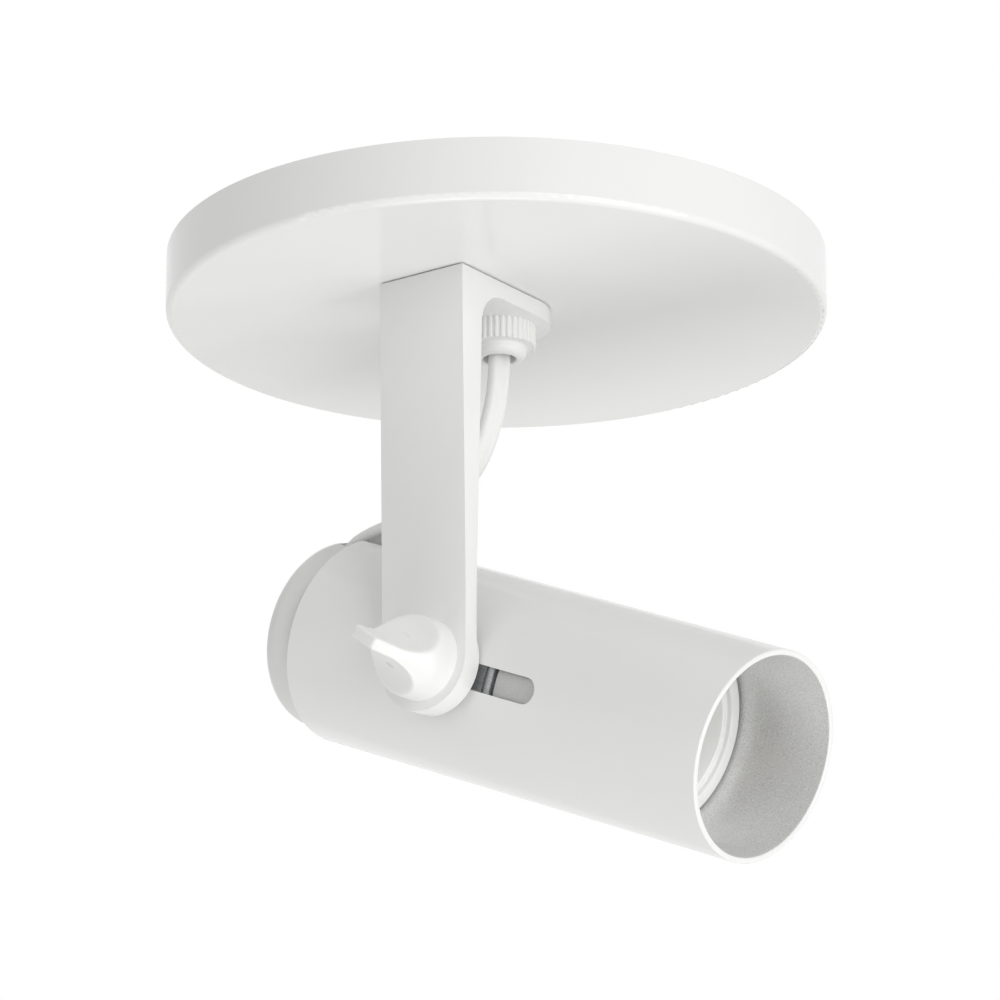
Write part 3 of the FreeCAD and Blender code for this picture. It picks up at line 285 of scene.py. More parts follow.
FINISHES = {}
NODE_FINISHES = {
    "powder_coat": ["canopy_shell", "canopy_hook"],
    "cap": ["rear_cap", "cap_screw"],
    "zinc": [
        "crossbar", "canopy_grub_screw", "swivel_nipple", "swivel_locknut", "wave_washer", "tilt_stud",
        "head_bracket", "lampholder_screws", "knob_washer",
    ],
    "green_zinc": ["ground_screw"],
    "brass": ["centre_contact", "contact_rivet", "knob_insert"],
    "fibre": ["friction_washer"],
    "nylon": ["swivel_washer"],
    "rubber": ["cord_gripper", "cord_clamp"],
}


# Meshes

def new_object(name, mesh):
    piece = bpy.data.objects.new(name, mesh)
    bpy.context.scene.collection.objects.link(piece)
    return piece


def mesh_of(vertices, faces, place, name):
    """A closed mesh with its place in its vertices, its doubles merged and its faces outwards."""
    mesh = bpy.data.meshes.new(name)
    mesh.from_pydata([place @ Vector(v) for v in vertices], [], faces)
    work = bmesh.new()
    work.from_mesh(mesh)
    bmesh.ops.remove_doubles(work, verts=work.verts, dist=1e-7)
    bmesh.ops.recalc_face_normals(work, faces=work.faces)
    work.to_mesh(mesh)
    work.free()
    return mesh


def smooth(mesh, degrees=32):
    mesh.shade_smooth()
    mesh.set_sharp_from_angle(angle=math.radians(degrees))


def ring_faces(rings, count, closed):
    """Quads between rings of count points; closed joins the last ring to the first."""
    faces = []
    for ring in range(rings if closed else rings - 1):
        here, after = ring * count, (ring + 1) % rings * count
        for step in range(count):
            ahead = (step + 1) % count
            faces.append((here + step, here + ahead, after + ahead, after + step))
    return faces


def circle(across, height, steps):
    """Points round Z at a radius and a height."""
    turns = [math.tau * step / steps for step in range(steps)]
    return [(across * math.cos(turn), across * math.sin(turn), height) for turn in turns]


def rounded(corners, steps=5):
    """An outline from (radius, height, rounding) corners, each rounding drawn as an arc."""
    points = []
    count = len(corners)
    for index, (across, height, radius) in enumerate(corners):
        corner = Vector((across, height))
        if radius == 0:
            points.append(tuple(corner))
            continue
        before = (Vector(corners[index - 1][:2]) - corner).normalized()
        after = (Vector(corners[(index + 1) % count][:2]) - corner).normalized()
        half = before.angle(after) / 2
        centre = corner + (before + after).normalized() * (radius / math.sin(half))
        start = corner + before * (radius / math.tan(half)) - centre
        end = corner + after * (radius / math.tan(half)) - centre
        for step in range(steps + 1):
            points.append(tuple(centre + start.lerp(end, step / steps).normalized() * radius))
    return points


def lathe(name, outline, place, steps=192):
    """A mesh turned round Z from a closed outline of (radius, height) points."""
    vertices = [point for across, height in outline for point in circle(across, height, steps)]
    return mesh_of(vertices, ring_faces(len(outline), steps, True), place, name)


def slab(name, outline, axes, span, place):
    """A prism: an outline in two of the place's axes, drawn out along the third between two levels."""
    vertices = []
    for level in span:
        for first, second in outline:
            point = [level, level, level]
            point[axes[0]], point[axes[1]] = first, second
            vertices.append(point)
    count = len(outline)
    faces = ring_faces(2, count, False)
    faces += [tuple(range(count)), tuple(range(2 * count - 1, count - 1, -1))]
    return mesh_of(vertices, faces, place, name)


def made_plain(piece):
    """The piece's evaluated mesh takes the place of its mesh and its modifiers."""
    bpy.context.view_layer.update()
    graph = bpy.context.evaluated_depsgraph_get()
    mesh = bpy.data.meshes.new_from_object(piece.evaluated_get(graph))
    piece.modifiers.clear()
    piece.data = mesh
    return piece


def carve(piece, *cutters):
    """Cuts closed meshes out of a piece."""
    tools = []
    for mesh in cutters:
        tool = new_object("cutter", mesh)
        cut = piece.modifiers.new("cut", "BOOLEAN")
        cut.operation = "DIFFERENCE"
        cut.solver = "EXACT"
        cut.object = tool
        tools.append(tool)
    made_plain(piece)
    for tool in tools:
        bpy.data.objects.remove(tool)
    return piece


def slot_outline(start, end, middle, half, steps=24):
    """A round-ended slot from start to end, centred on middle, as (across, along) points."""
    points = []
    for level, first in ((end - half, 0.0), (start + half, math.pi)):
        for step in range(steps + 1):
            turn = first + math.pi * step / steps
            points.append((middle + half * math.cos(turn), level + half * math.sin(turn)))
    return points


def dress(piece, finish, slot, *nodes):
    """Gives a piece its finish and lets it stand for its CAD nodes, which it hides; its slot is not used."""
    if finish:
        piece.data.materials.clear()
        piece.data.materials.append(FINISHES[finish])
    if nodes:
        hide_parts(*nodes)
    return piece


# A face looks along the radius when the cosine between them is over this.
FACING = 0.9


def paint_faces(piece, finish, place, chosen):
    """Gives a second finish to the faces that chosen(height, across, facing) picks in that place."""
    piece.data.materials.append(FINISHES[finish])
    inward = place.inverted()
    turn = inward.to_3x3()
    for face in piece.data.polygons:
        centre = inward @ face.center
        radial = Vector((centre.x, centre.y, 0))
        facing = (turn @ face.normal).dot(radial.normalized())
        face.material_index = 1 if chosen(centre.z, radial.length, facing) else 0


# Ribs, by geometry nodes

def make_rib_tree():
    """Rounded ribs stood on a ring round Z, each leaning inwards by an angle."""
    tree = bpy.data.node_groups.new("ribs_on_a_ring", "GeometryNodeTree")
    for name, kind in (
        ("Count", "Int"), ("Ring Radius", "Float"), ("Rib Radius", "Float"), ("Rib Length", "Float"),
        ("Flatness", "Float"), ("Lean", "Float"), ("Finish", "Material"),
    ):
        tree.interface.new_socket(name=name, in_out="INPUT", socket_type="NodeSocket" + kind)
    tree.interface.new_socket(name="Geometry", in_out="OUTPUT", socket_type="NodeSocketGeometry")
    given = add_node(tree, "NodeGroupInput").outputs
    ring = add_node(tree, "GeometryNodeMeshCircle", {
        "Vertices": given["Count"], "Radius": given["Ring Radius"]})
    rib = add_node(tree, "GeometryNodeMeshCylinder", {
        "Vertices": 16, "Radius": given["Rib Radius"], "Depth": given["Rib Length"]})
    lean = add_node(tree, "ShaderNodeCombineXYZ", {"Y": given["Lean"]})
    flat = add_node(tree, "ShaderNodeCombineXYZ", {"X": given["Flatness"], "Y": 1.0, "Z": 1.0})
    leaning = add_node(tree, "GeometryNodeTransform", {
        "Geometry": rib.outputs["Mesh"], "Rotation": lean.outputs[0], "Scale": flat.outputs[0]})
    outward = add_node(tree, "GeometryNodeInputPosition")
    facing = add_node(tree, "FunctionNodeAlignRotationToVector", {"Vector": outward.outputs[0]}, axis="X")
    stood = add_node(tree, "GeometryNodeInstanceOnPoints", {
        "Points": ring.outputs["Mesh"], "Instance": leaning.outputs["Geometry"],
        "Rotation": facing.outputs["Rotation"]})
    real = add_node(tree, "GeometryNodeRealizeInstances", {"Geometry": stood.outputs["Instances"]})
    painted = add_node(tree, "GeometryNodeSetMaterial", {
        "Geometry": real.outputs["Geometry"], "Material": given["Finish"]})
    add_node(tree, "NodeGroupOutput", {"Geometry": painted.outputs["Geometry"]})
    return tree


def ribs(name, tree, place, finish, **sizes):
    """A mesh of ribs from the tree, in its place."""
    piece = new_object(name, bpy.data.meshes.new(name))
    modifier = piece.modifiers.new("ribs", "NODES")
    modifier.node_group = tree
    values = {key.replace("_", " ").title(): value for key, value in sizes.items()}
    values["Finish"] = FINISHES[finish]
    for socket in tree.interface.items_tree:
        if socket.in_out == "INPUT":
            modifier[socket.identifier] = values[socket.name]
    made_plain(piece)
    piece.data.transform(place)
    smooth(piece.data, 40)
    return piece


# Cords

def route_points(places, start=Vector()):
    return [start + Vector(place) * MM for place in places]


def make_route(name, points, bevel=0.0):
    """A curve whose control points are a cord's route."""
    data = bpy.data.curves.new(name, "CURVE")
    data.dimensions = "3D"
    data.resolution_u = 16
    data.bevel_depth = bevel
    data.bevel_resolution = 6
    data.use_fill_caps = True
    spline = data.splines.new("NURBS")
    spline.points.add(len(points) - 1)
    for point, place in zip(spline.points, points):
        point.co = (*place, 1.0)
    spline.order_u = 3
    spline.use_endpoint_u = True
    return new_object(name, data)


def line_of(points):
    """The points of a route's own smooth line."""
    route = make_route("route", points)
    bpy.context.view_layer.update()
    graph = bpy.context.evaluated_depsgraph_get()
    mesh = bpy.data.meshes.new_from_object(route.evaluated_get(graph))
    line = [vertex.co.copy() for vertex in mesh.vertices]
    bpy.data.objects.remove(route)
    bpy.data.meshes.remove(mesh)
    return line


def flat_cord_section(width, thickness, steps=14):
    """Two round conductors side by side, joined by a web; points run once round."""
    lobe = thickness / 2
    reach = width / 2 - lobe
    groove = math.radians(62)
    points = []
    for side, middle in ((1, 0.0), (-1, math.pi)):
        for step in range(steps + 1):
            turn = middle - (math.pi - groove) + 2 * (math.pi - groove) * step / steps
            points.append((side * reach + lobe * math.cos(turn), lobe * math.sin(turn)))
    return points


def tube_on(line, section, wide, name):
    """A closed tube with a section that starts with its wide side along a direction."""
    vertices = []
    across = wide.normalized()
    for index, point in enumerate(line):
        ahead = (line[min(index + 1, len(line) - 1)] - line[max(index - 1, 0)]).normalized()
        across = (across - ahead * across.dot(ahead)).normalized()
        over = ahead.cross(across)
        vertices += [point + across * x + over * y for x, y in section]
    count = len(section)
    faces = ring_faces(len(line), count, False)
    last = (len(line) - 1) * count
    faces += [tuple(range(count)), tuple(range(last + count - 1, last - 1, -1))]
    return mesh_of(vertices, faces, Matrix(), name)


# In the head's place at rest, the cord's last two points stand over its clamp.
CORD_IN_ARM = [
    (0.0, 0.0, -8.1), (0.0, 0.0, -16.5), (-1.9, -0.2, -26.5), (-5.6, -1.0, -36.2),
    (-12.4, -2.4, -43.8), (-21.8, -4.0, -48.4), (-30.4, -5.2, -49.4),
]
CORD_IN_HEAD = [(-18.5, -6.3, -50.4), (-8.8, -6.3, -50.4)]
LEAD_ROUTES = {
    "lead_line": [
        (3.0, -4.6, -13.0), (2.9, -4.7, -6.4), (0.2, -7.6, -4.4), (-6.0, -13.0, -7.6), (-14.0, -18.2, -7.9),
    ],
    "lead_neutral": [
        (5.5, -4.6, -13.0), (5.6, -4.7, -6.4), (8.7, -7.3, -4.4), (15.5, -12.2, -7.6), (24.0, -16.6, -7.9),
    ],
    "ground_lead": [
        (-2.0, 27.4, -2.75), (5.4, 27.0, -2.8), (9.6, 24.0, -4.5), (15.0, 19.0, -7.2), (22.0, 12.6, -7.9),
    ],
}
HOLDER_LEADS = {
    "holder_lead_line": [
        (-6.6, -8.3, -46.7), (-6.6, -8.3, -40.7), (-12.0, -3.3, -32.0), (-14.5, -1.95, -20.0),
        (-12.9, -3.25, -8.0), (-12.9, -3.25, 7.2),
    ],
    "holder_lead_neutral": [
        (-6.6, -4.3, -46.7), (-6.6, -4.3, -40.7), (-12.0, -1.7, -32.0), (-14.5, 1.95, -20.0),
        (-12.9, 3.25, -8.0), (-12.9, 3.25, 7.2),
    ],
}
# The leads' finishes and slots, in the order of their routes.
LEAD_LOOKS = (("lead_black", "black_lead"), ("lead_white", "white_lead"), ("lead_green", "green_lead"))


# Operators

class PieceOperator:
    """What every operator shares: the groups of sizes in the scene."""

    bl_options = {"REGISTER"}

    @property
    def head(self):
        return bpy.context.scene.spotlight_head

    @property
    def small(self):
        return bpy.context.scene.spotlight_small


class SPOTLIGHT_OT_finishes(PieceOperator, bpy.types.Operator):
    """Makes the finishes and gives the kept CAD nodes theirs"""

    bl_idname = "spotlight.finishes"
    bl_label = "Finishes"

    def execute(self, context):
        FINISHES.update(make_finishes(context.scene.spotlight_colours))
        for finish, names in NODE_FINISHES.items():
            for name in names:
                node = frame["nodes"][name]
                for slot in node.material_slots:
                    slot.material = FINISHES[finish]
        return {"FINISHED"}


class SPOTLIGHT_OT_arm(PieceOperator, bpy.types.Operator):
    """Builds the painted arm with its softened edges"""

    bl_idname = "spotlight.arm"
    bl_label = "Arm"

    def execute(self, context):
        mesh = frame["nodes"]["arm"].data.copy()
        work = bmesh.new()
        work.from_mesh(mesh)
        bmesh.ops.remove_doubles(work, verts=work.verts, dist=1e-6)
        bmesh.ops.dissolve_limit(
            work, angle_limit=math.radians(0.5), verts=work.verts, edges=work.edges, delimit={"NORMAL"})
        work.to_mesh(mesh)
        work.free()
        arm = new_object("painted_arm", mesh)
        bevel = arm.modifiers.new("softened", "BEVEL")
        bevel.width = self.small.arm_edge
        bevel.segments = 3
        bevel.limit_method = "ANGLE"
        bevel.angle_limit = math.radians(40)
        made_plain(arm)
        smooth(arm.data, 30)
        dress(arm, "powder_coat", "white_paint", "arm")
        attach(arm, "arm")
        return {"FINISHED"}


class SPOTLIGHT_OT_nut(PieceOperator, bpy.types.Operator):
    """Builds the ribbed nut and its domed ring, round the cord's exit"""

    bl_idname = "spotlight.nut"
    bl_label = "Ribbed nut"

    def execute(self, context):
        sizes = self.small
        top = sizes.flange_bottom
        shoulder = top - sizes.nut_ribs_height
        bottom = shoulder - sizes.nut_ring_height
        rib_depth, rib_radius = 0.35 * MM, 0.5 * MM
        land = sizes.nut_radius - rib_depth
        mouth, bore = sizes.nut_mouth, sizes.nut_mouth + 1.2 * MM
        lip = bottom + 1.9 * MM
        outline = rounded([
            (bore, top, 0), (land, top, 0), (land, shoulder, 0.25 * MM),
            (sizes.nut_ring_radius, shoulder, 0.4 * MM), (sizes.nut_ring_radius, bottom, 1.7 * MM),
            (mouth, bottom, 0.3 * MM), (mouth, lip, 0), (bore, lip, 0),
        ])
        nut = new_object("nut_body", lathe("nut_body", outline, ARM_PLACE, 96))
        smooth(nut.data)
        dress(nut, "nylon", "white_plastic", "strain_relief_nut")
        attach(nut, "arm")
        middle = ARM_PLACE @ Matrix.Translation((0, 0, (top + shoulder) / 2))
        rows = ribs(
            "nut_ribs", context.scene.spotlight_ribs, middle, "nylon", count=36, ring_radius=land,
            rib_radius=rib_radius, rib_length=sizes.nut_ribs_height, flatness=0.7, lean=0.0)
        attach(rows, "arm")
        return {"FINISHED"}


class SPOTLIGHT_OT_cord(PieceOperator, bpy.types.Operator):
    """Builds the flat cord from the nut to the clamp in the rear cap"""

    bl_idname = "spotlight.cord"
    bl_label = "Cord"

    def execute(self, context):
        place = head_place(self.head)
        points = route_points(CORD_IN_ARM, SWIVEL) + [place @ p for p in route_points(CORD_IN_HEAD)]
        line = line_of(points)
        section = flat_cord_section(self.small.cord_width, self.small.cord_thickness)
        # The cord's wide side lies along this where it leaves the nut.
        wide = Vector((0.41, 0.91, 0))
        cord = new_object("flat_cord", tube_on(line, section, wide, "flat_cord"))
        smooth(cord.data, 60)
        dress(cord, "jacket", "cord_jacket", "power_cord")
        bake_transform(cord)
        return {"FINISHED"}


class SPOTLIGHT_OT_wiring(PieceOperator, bpy.types.Operator):
    """Builds the single leads and the ridged twist-on connectors"""

    bl_idname = "spotlight.wiring"
    bl_label = "Wiring"

    def execute(self, context):
        radius = self.small.lead_diameter / 2
        for (name, places), (finish, slot) in zip(LEAD_ROUTES.items(), LEAD_LOOKS):
            lead = make_route("pan_" + name, route_points(places), radius)
            dress(lead, finish, slot, name)
            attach(lead, "canopy")
            self.make_connector(context, name, places)
        place = head_place(self.head)
        for (name, places), (finish, slot) in zip(HOLDER_LEADS.items(), LEAD_LOOKS):
            points = [place @ p for p in route_points(places)]
            lead = make_route(name, points, radius)
            dress(lead, finish, slot, "lampholder_leads")
            line = line_of(points)
            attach(lead, "head")
        return {"FINISHED"}

    def make_connector(self, context, name, places):
        """A cone on the lead's end with ridges for the fingers."""
        mouth, tip, tall, depth = 4.6 * MM, 3.0 * MM, 16 * MM, 5 * MM
        end = Vector(places[-1]) * MM
        ahead = (end - Vector(places[-2]) * MM).normalized()
        side = ahead.orthogonal().normalized()
        place = place_of(end - ahead * depth, side, ahead.cross(side), ahead)
        sleeve = self.small.lead_diameter / 2 + 0.03 * MM
        ridge_depth, ridge_radius, collar = 0.35 * MM, 0.5 * MM, 3 * MM
        wide, narrow = mouth - ridge_depth, tip - ridge_depth
        outline = rounded([
            (sleeve, 0, 0), (wide, 0, 0.5 * MM), (wide, collar, 0.3 * MM),
            (narrow, tall, 1.2 * MM), (0, tall, 0), (0, depth, 0), (sleeve, depth, 0),
        ])
        body = new_object("connector_" + name, lathe("connector", outline, place, 64))
        smooth(body.data)
        dress(body, "connector", "connector_plastic", "wire_connectors")
        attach(body, "canopy")
        lean = -math.atan2(mouth - tip, tall)
        rows = ribs(
            "ridges_" + name, context.scene.spotlight_ribs, place @ Matrix.Translation((0, 0, tall / 2)),
            "connector", count=14, ring_radius=(mouth + tip) / 2 - ridge_depth * 1.3,
            rib_radius=ridge_radius, rib_length=tall * 0.8, flatness=0.8, lean=lean)
        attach(rows, "canopy")


class SPOTLIGHT_OT_tube(PieceOperator, bpy.types.Operator):
    """Builds the cylinder: painted outside, silver inside, with its slot and notch"""

    bl_idname = "spotlight.tube"
    bl_label = "Cylinder"

    def execute(self, context):
        sizes = self.head
        place = head_place(sizes)
        outer, inner = sizes.tube_radius, sizes.tube_radius - sizes.tube_wall
        front, back = sizes.tube_front, sizes.tube_front - sizes.tube_length
        edge = sizes.rim_round
        outline = rounded([
            (inner, back, edge), (outer, back, edge), (outer, front, edge), (inner, front, edge)])
        tube = new_object("painted_tube", lathe("painted_tube", outline, place, 256))
        slot = slot_outline(sizes.slot_rear, sizes.slot_front, sizes.pivot_below, sizes.slot_width / 2)
        notch = slot_outline(back - sizes.notch_half, back + sizes.notch_depth, 0, sizes.notch_half)
        through = (-outer - MM, -inner / 2)
        carve(tube, slab("slot", slot, (0, 2), through, place), slab("notch", notch, (1, 2), through, place))
        dress(tube, "powder_coat", "white_paint", "tube")
        bore = inner + 0.02 * MM
        paint_faces(
            tube, "silver", place, lambda height, across, facing: across < bore and facing < -FACING)
        smooth(tube.data)
        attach(tube, "tube")
        return {"FINISHED"}


class SPOTLIGHT_OT_lampholder(PieceOperator, bpy.types.Operator):
    """Builds the lampholder's rings and the threaded screw shell"""

    bl_idname = "spotlight.lampholder"
    bl_label = "Lampholder"

    def execute(self, context):
        sizes = self.head
        place = head_place(sizes)
        front = sizes.holder_front
        throat = sizes.shell_radius + 0.2 * MM
        # The front face has a groove and an inner ring, and then falls to the throat.
        groove_outer, ring_outer, ring_inner = 18.7 * MM, 17.4 * MM, 16.2 * MM
        groove, ring, funnel = front - 1.3 * MM, front - 0.4 * MM, front - 5.5 * MM
        edge, large, fine, corner = 0.6 * MM, 0.8 * MM, 0.4 * MM, 0.3 * MM
        outline = rounded([
            (0, sizes.holder_back, 0), (sizes.holder_rear, sizes.holder_back, edge),
            (sizes.holder_rear, sizes.holder_step, edge), (sizes.holder_radius, sizes.holder_step, edge),
            (sizes.holder_radius, front, large), (groove_outer, front, fine),
            (groove_outer, groove, corner), (ring_outer, groove, corner),
            (ring_outer, ring, fine), (ring_inner, ring, fine),
            (throat, funnel, large), (throat, sizes.holder_floor, 0), (0, sizes.holder_floor, 0),
        ])
        holder = new_object("lampholder_body", lathe("lampholder_body", outline, place))
        smooth(holder.data)
        dress(holder, "thermoset", "porcelain_plastic", "lampholder")
        side = sizes.holder_radius - 0.1 * MM
        sleeve_and_shade_front = front - 1.2 * MM
        # Satin grey on the front part's outer side: a sleeve, and painted shade where it shows through the
        # slot.
        paint_faces(holder, "sleeve", place, lambda height, across, facing: (
            across > side and facing > FACING and height < sleeve_and_shade_front))
        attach(holder, "head")
        shell = new_object("threaded_shell", self.thread(sizes, place))
        smooth(shell.data, 50)
        dress(shell, "nickel", "shell_metal", "screw_shell")
        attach(shell, "head")
        return {"FINISHED"}

    def thread(self, sizes, place, turns=6, rows=14, steps=96):
        """A rolled thread: both skins of the sheet rise and fall along a helix.

        It has rows of points to each turn, and runs in and out over its first and last few."""
        last, run_in = turns * rows, 8
        floor_hole = 9 * MM
        crest, depth, pitch = sizes.shell_radius, sizes.shell_thread, sizes.shell_pitch
        foot = sizes.holder_floor + sizes.shell_sheet
        skins = []
        for skin in (0, sizes.shell_sheet):
            rings = []
            for row in range(last + 1):
                height = foot + pitch * row / rows
                fade = min(1, row / run_in, (last - row) / run_in)
                ring = []
                for step in range(steps):
                    turn = math.tau * step / steps
                    wave = 0.5 + 0.5 * math.cos(math.tau * row / rows - turn)
                    across = crest - skin - depth * (1 - wave * fade)
                    ring.append((across * math.cos(turn), across * math.sin(turn), height))
                rings.append(ring)
            skins.append(rings)
        under = [(x, y, sizes.holder_floor) for x, y, z in skins[0][0]]
        rings = [
            circle(floor_hole, sizes.holder_floor, steps), under, *skins[0], *skins[1][::-1],
            circle(floor_hole, foot, steps)]
        vertices = [point for ring in rings for point in ring]
        return mesh_of(vertices, ring_faces(len(rings), steps, True), place, "threaded_shell")


# Points in each ring of the thumb knob.
KNOB_STEPS = 128


class SPOTLIGHT_OT_knob(PieceOperator, bpy.types.Operator):
    """Builds the thumb knob: a dome with two scoops that leave a blade between them"""

    bl_idname = "spotlight.knob"
    bl_label = "Thumb knob"

    def execute(self, context):
        sizes = self.small
        turned = Matrix.Rotation(math.radians(90) - sizes.knob_turned, 4, "Z")
        place = AXLE_PLACE @ Matrix.Translation((0, 0, sizes.knob_start)) @ turned
        rings = self.outer_rings(sizes) + self.hollow_rings()
        vertices = [point for ring in rings for point in ring]
        knob = new_object("thumb_knob_body", mesh_of(
            vertices, ring_faces(len(rings), len(rings[0]), True), place, "thumb_knob_body"))
        smooth(knob.data, 50)
        dress(knob, "nylon", "white_plastic", "thumb_knob")
        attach(knob, "knob")
        return {"FINISHED"}

    def outer_rings(self, sizes, rows=64, edge_rows=6):
        """Rings up the knob's outside: at each height, the smaller of the dome and the scoops."""
        profile = rounded([
            (sizes.knob_radius, 0, 0), (sizes.knob_radius, sizes.knob_base, sizes.knob_shoulder),
            (sizes.knob_neck, sizes.knob_neck_place, sizes.knob_neck_round),
            (sizes.knob_tip, sizes.knob_reach, 0),
        ])
        far = sizes.knob_waist + sizes.knob_scoop
        edge = sizes.knob_edge
        side_top = sizes.knob_reach - edge
        heights = [side_top * row / rows for row in range(rows)]
        heights += [
            side_top + edge * math.sin(math.radians(90 * step / edge_rows)) for step in range(edge_rows + 1)]
        rings = []
        for height in heights:
            drop = min(0, height - sizes.knob_scoop_place)
            reach = sizes.knob_scoop ** 2 - drop ** 2
            flat = far - math.sqrt(reach) if reach > 0 else far
            above = max(0.0, height - side_top)
            inset = edge - math.sqrt(max(0.0, edge ** 2 - above ** 2))
            dome = radius_at(profile, height) - inset
            rings.append(section_ring(dome, flat - inset, height, sizes.knob_crease, KNOB_STEPS))
        foot, tip = shrunk(rings[0], 0.985), shrunk(rings[-1], 0.02)
        return [foot, *rings, tip]

    def hollow_rings(self):
        """The washer's recess and the insert's seat under the knob."""
        middle, seat, recess = 0.02 * MM, 4.03 * MM, 6.53 * MM
        seat_top, recess_top = 9.0 * MM, 0.7 * MM
        outline = (
            (middle, seat_top), (seat, seat_top), (seat, recess_top), (recess, recess_top), (recess, 0.0))
        return [circle(across, height, KNOB_STEPS) for across, height in outline]


def shrunk(ring, share):
    """A ring drawn in towards Z to a share of its size."""
    return [(x * share, y * share, z) for x, y, z in ring]


def radius_at(profile, height):
    """The radius at a height, between the (radius, height) points of an outline that rises."""
    for (first, low), (second, high) in zip(profile, profile[1:]):
        if low <= height <= high and high > low:
            return first + (second - first) * (height - low) / (high - low)
    return profile[-1][0]


def section_ring(dome, flat, height, soft, count, fine=720):
    """A circle trimmed by two flats with soft corners, as evenly spaced points."""
    outline = []
    for step in range(fine):
        turn = math.tau * step / fine
        side = flat / max(abs(math.cos(turn)), 1e-6)
        near = max(soft - abs(dome - side), 0) / soft
        across = min(dome, side) - near * near * soft / 4
        outline.append(Vector((across * math.cos(turn), across * math.sin(turn))))
    run = [0.0]
    for index in range(fine):
        run.append(run[-1] + (outline[(index + 1) % fine] - outline[index]).length)
    ring = []
    index = 0
    for step in range(count):
        wanted = run[-1] * step / count
        while run[index + 1] < wanted:
            index += 1
        share = (wanted - run[index]) / (run[index + 1] - run[index])
        point = outline[index].lerp(outline[(index + 1) % fine], share)
        ring.append((point.x, point.y, height))
    return ring


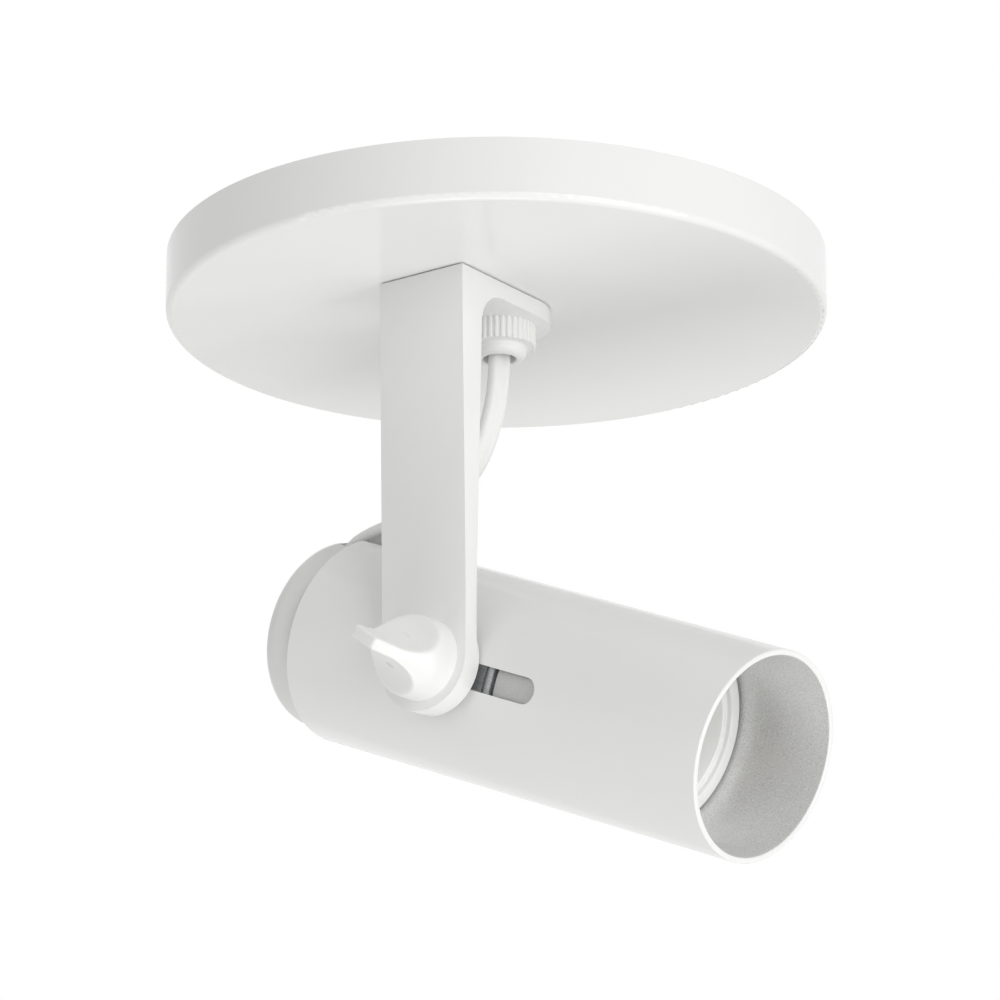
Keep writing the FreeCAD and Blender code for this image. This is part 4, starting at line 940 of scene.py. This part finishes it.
class SPOTLIGHT_OT_stage(PieceOperator, bpy.types.Operator):
    """Sets the camera, the floor, the lamps and the white surroundings"""

    bl_idname = "spotlight.stage"
    bl_label = "Stage"

    def execute(self, context):
        self.make_camera(context)
        self.make_floor()
        self.make_lamps()
        self.make_surroundings(context)
        context.scene.view_settings.view_transform = "Standard"
        return {"FINISHED"}

    def make_camera(self, context):
        """A long lens from below and ahead, level with the horizon."""
        data = bpy.data.cameras.new("camera")
        data.lens = 216
        data.sensor_width = 36
        data.clip_start = 0.05
        data.clip_end = 30
        camera = bpy.data.objects.new("camera", data)
        context.scene.collection.objects.link(camera)
        camera.location = (0.76032, -1.04648, -0.49573)
        camera.rotation_euler = (math.radians(108.688), 0, math.radians(35.963))
        context.scene.camera = camera

    def make_floor(self):
        """A pale floor well below the fitting; what looks at it straight sees it lifted to white."""
        level, reach = -1.8, 7.0
        work = bmesh.new()
        bmesh.ops.create_circle(work, cap_ends=True, segments=96, radius=reach)
        mesh = bpy.data.meshes.new("floor")
        work.to_mesh(mesh)
        work.free()
        mesh.transform(Matrix.Translation((0, 0, level)))
        floor = new_object("floor", mesh)
        material = bpy.data.materials.new("pale_floor")
        material.use_nodes = True
        tree = material.node_tree
        tree.nodes.clear()
        seen = self.seen_directly(tree)
        lifted = add_node(tree, "ShaderNodeMath", {0: seen, 1: 0.4}, operation="MULTIPLY")
        shader = add_node(tree, "ShaderNodeBsdfPrincipled", {
            "Base Color": rgba(linear("#E9E9E8")), "Roughness": 0.9,
            "Emission Color": (1, 1, 1, 1), "Emission Strength": lifted.outputs[0]})
        add_node(tree, "ShaderNodeOutputMaterial", {"Surface": shader.outputs["BSDF"]})
        mesh.materials.append(material)

    def seen_directly(self, tree):
        """1 for camera, mirror and glass rays, else 0."""
        path = add_node(tree, "ShaderNodeLightPath").outputs
        first = add_node(tree, "ShaderNodeMath", {
            0: path["Is Camera Ray"], 1: path["Is Glossy Ray"]}, operation="MAXIMUM")
        both = add_node(tree, "ShaderNodeMath", {
            0: first.outputs[0], 1: path["Is Transmission Ray"]}, operation="MAXIMUM")
        return both.outputs[0]

    def make_lamps(self):
        """Soft boxes aimed at the fitting, each with its name, place and watts."""
        lamps = (
            ("box_right", (1.35, -0.75, 0.1), 5.6),
            ("box_ahead", (1.35, 0, -0.7), 6.0),
            ("box_below", (0, -0.3, -1.5), 6.0),
        )
        across = 0.8
        aim = Vector((0, 0, -0.08))
        for name, place, watts in lamps:
            data = bpy.data.lights.new(name, "AREA")
            data.shape = "RECTANGLE"
            data.size = across
            data.size_y = across
            data.energy = watts
            lamp = bpy.data.objects.new(name, data)
            bpy.context.scene.collection.objects.link(lamp)
            lamp.location = place
            lamp.rotation_euler = (aim - Vector(place)).to_track_quat("-Z", "Y").to_euler()

    def make_surroundings(self, context):
        """Even light from all round, seen as plain white."""
        ambient = 0.58
        world = bpy.data.worlds.new("surroundings")
        context.scene.world = world
        world.use_nodes = True
        tree = world.node_tree
        tree.nodes.clear()
        light = add_node(tree, "ShaderNodeBackground", {"Color": (1, 1, 1, 1), "Strength": ambient})
        white = add_node(tree, "ShaderNodeBackground", {"Color": (1, 1, 1, 1), "Strength": 1.0})
        mixed = add_node(tree, "ShaderNodeMixShader", {
            0: self.seen_directly(tree), 1: light.outputs[0], 2: white.outputs[0]})
        add_node(tree, "ShaderNodeOutputWorld", {"Surface": mixed.outputs[0]})


class SPOTLIGHT_PT_pieces(bpy.types.Panel):
    """Lists the spotlight's pieces"""

    bl_idname = "SPOTLIGHT_PT_pieces"
    bl_label = "Ceiling spotlight"
    bl_space_type = "VIEW_3D"
    bl_region_type = "UI"
    bl_category = "Spotlight"

    def draw(self, context):
        for operator in OPERATORS:
            self.layout.operator(operator.bl_idname)


OPERATORS = (
    SPOTLIGHT_OT_finishes,
    SPOTLIGHT_OT_arm,
    SPOTLIGHT_OT_nut,
    SPOTLIGHT_OT_cord,
    SPOTLIGHT_OT_wiring,
    SPOTLIGHT_OT_tube,
    SPOTLIGHT_OT_lampholder,
    SPOTLIGHT_OT_knob,
    SPOTLIGHT_OT_stage,
)
GROUPS = {
    "spotlight_head": SpotlightHeadSizes,
    "spotlight_small": SpotlightSmallSizes,
    "spotlight_colours": SpotlightColours,
}


def register():
    for name, group in GROUPS.items():
        bpy.utils.register_class(group)
        setattr(bpy.types.Scene, name, bpy.props.PointerProperty(type=group))
    bpy.types.Scene.spotlight_ribs = bpy.props.PointerProperty(type=bpy.types.NodeTree)
    for item in (*OPERATORS, SPOTLIGHT_PT_pieces):
        bpy.utils.register_class(item)


def unregister():
    for item in reversed((*OPERATORS, SPOTLIGHT_PT_pieces)):
        bpy.utils.unregister_class(item)
    del bpy.types.Scene.spotlight_ribs
    for name, group in GROUPS.items():
        delattr(bpy.types.Scene, name)
        bpy.utils.unregister_class(group)


def main():
    register()
    bpy.context.scene.spotlight_ribs = make_rib_tree()
    for operator in OPERATORS:
        group, name = operator.bl_idname.split(".")
        getattr(getattr(bpy.ops, group), name)()


if __name__ == "__main__":
    main()
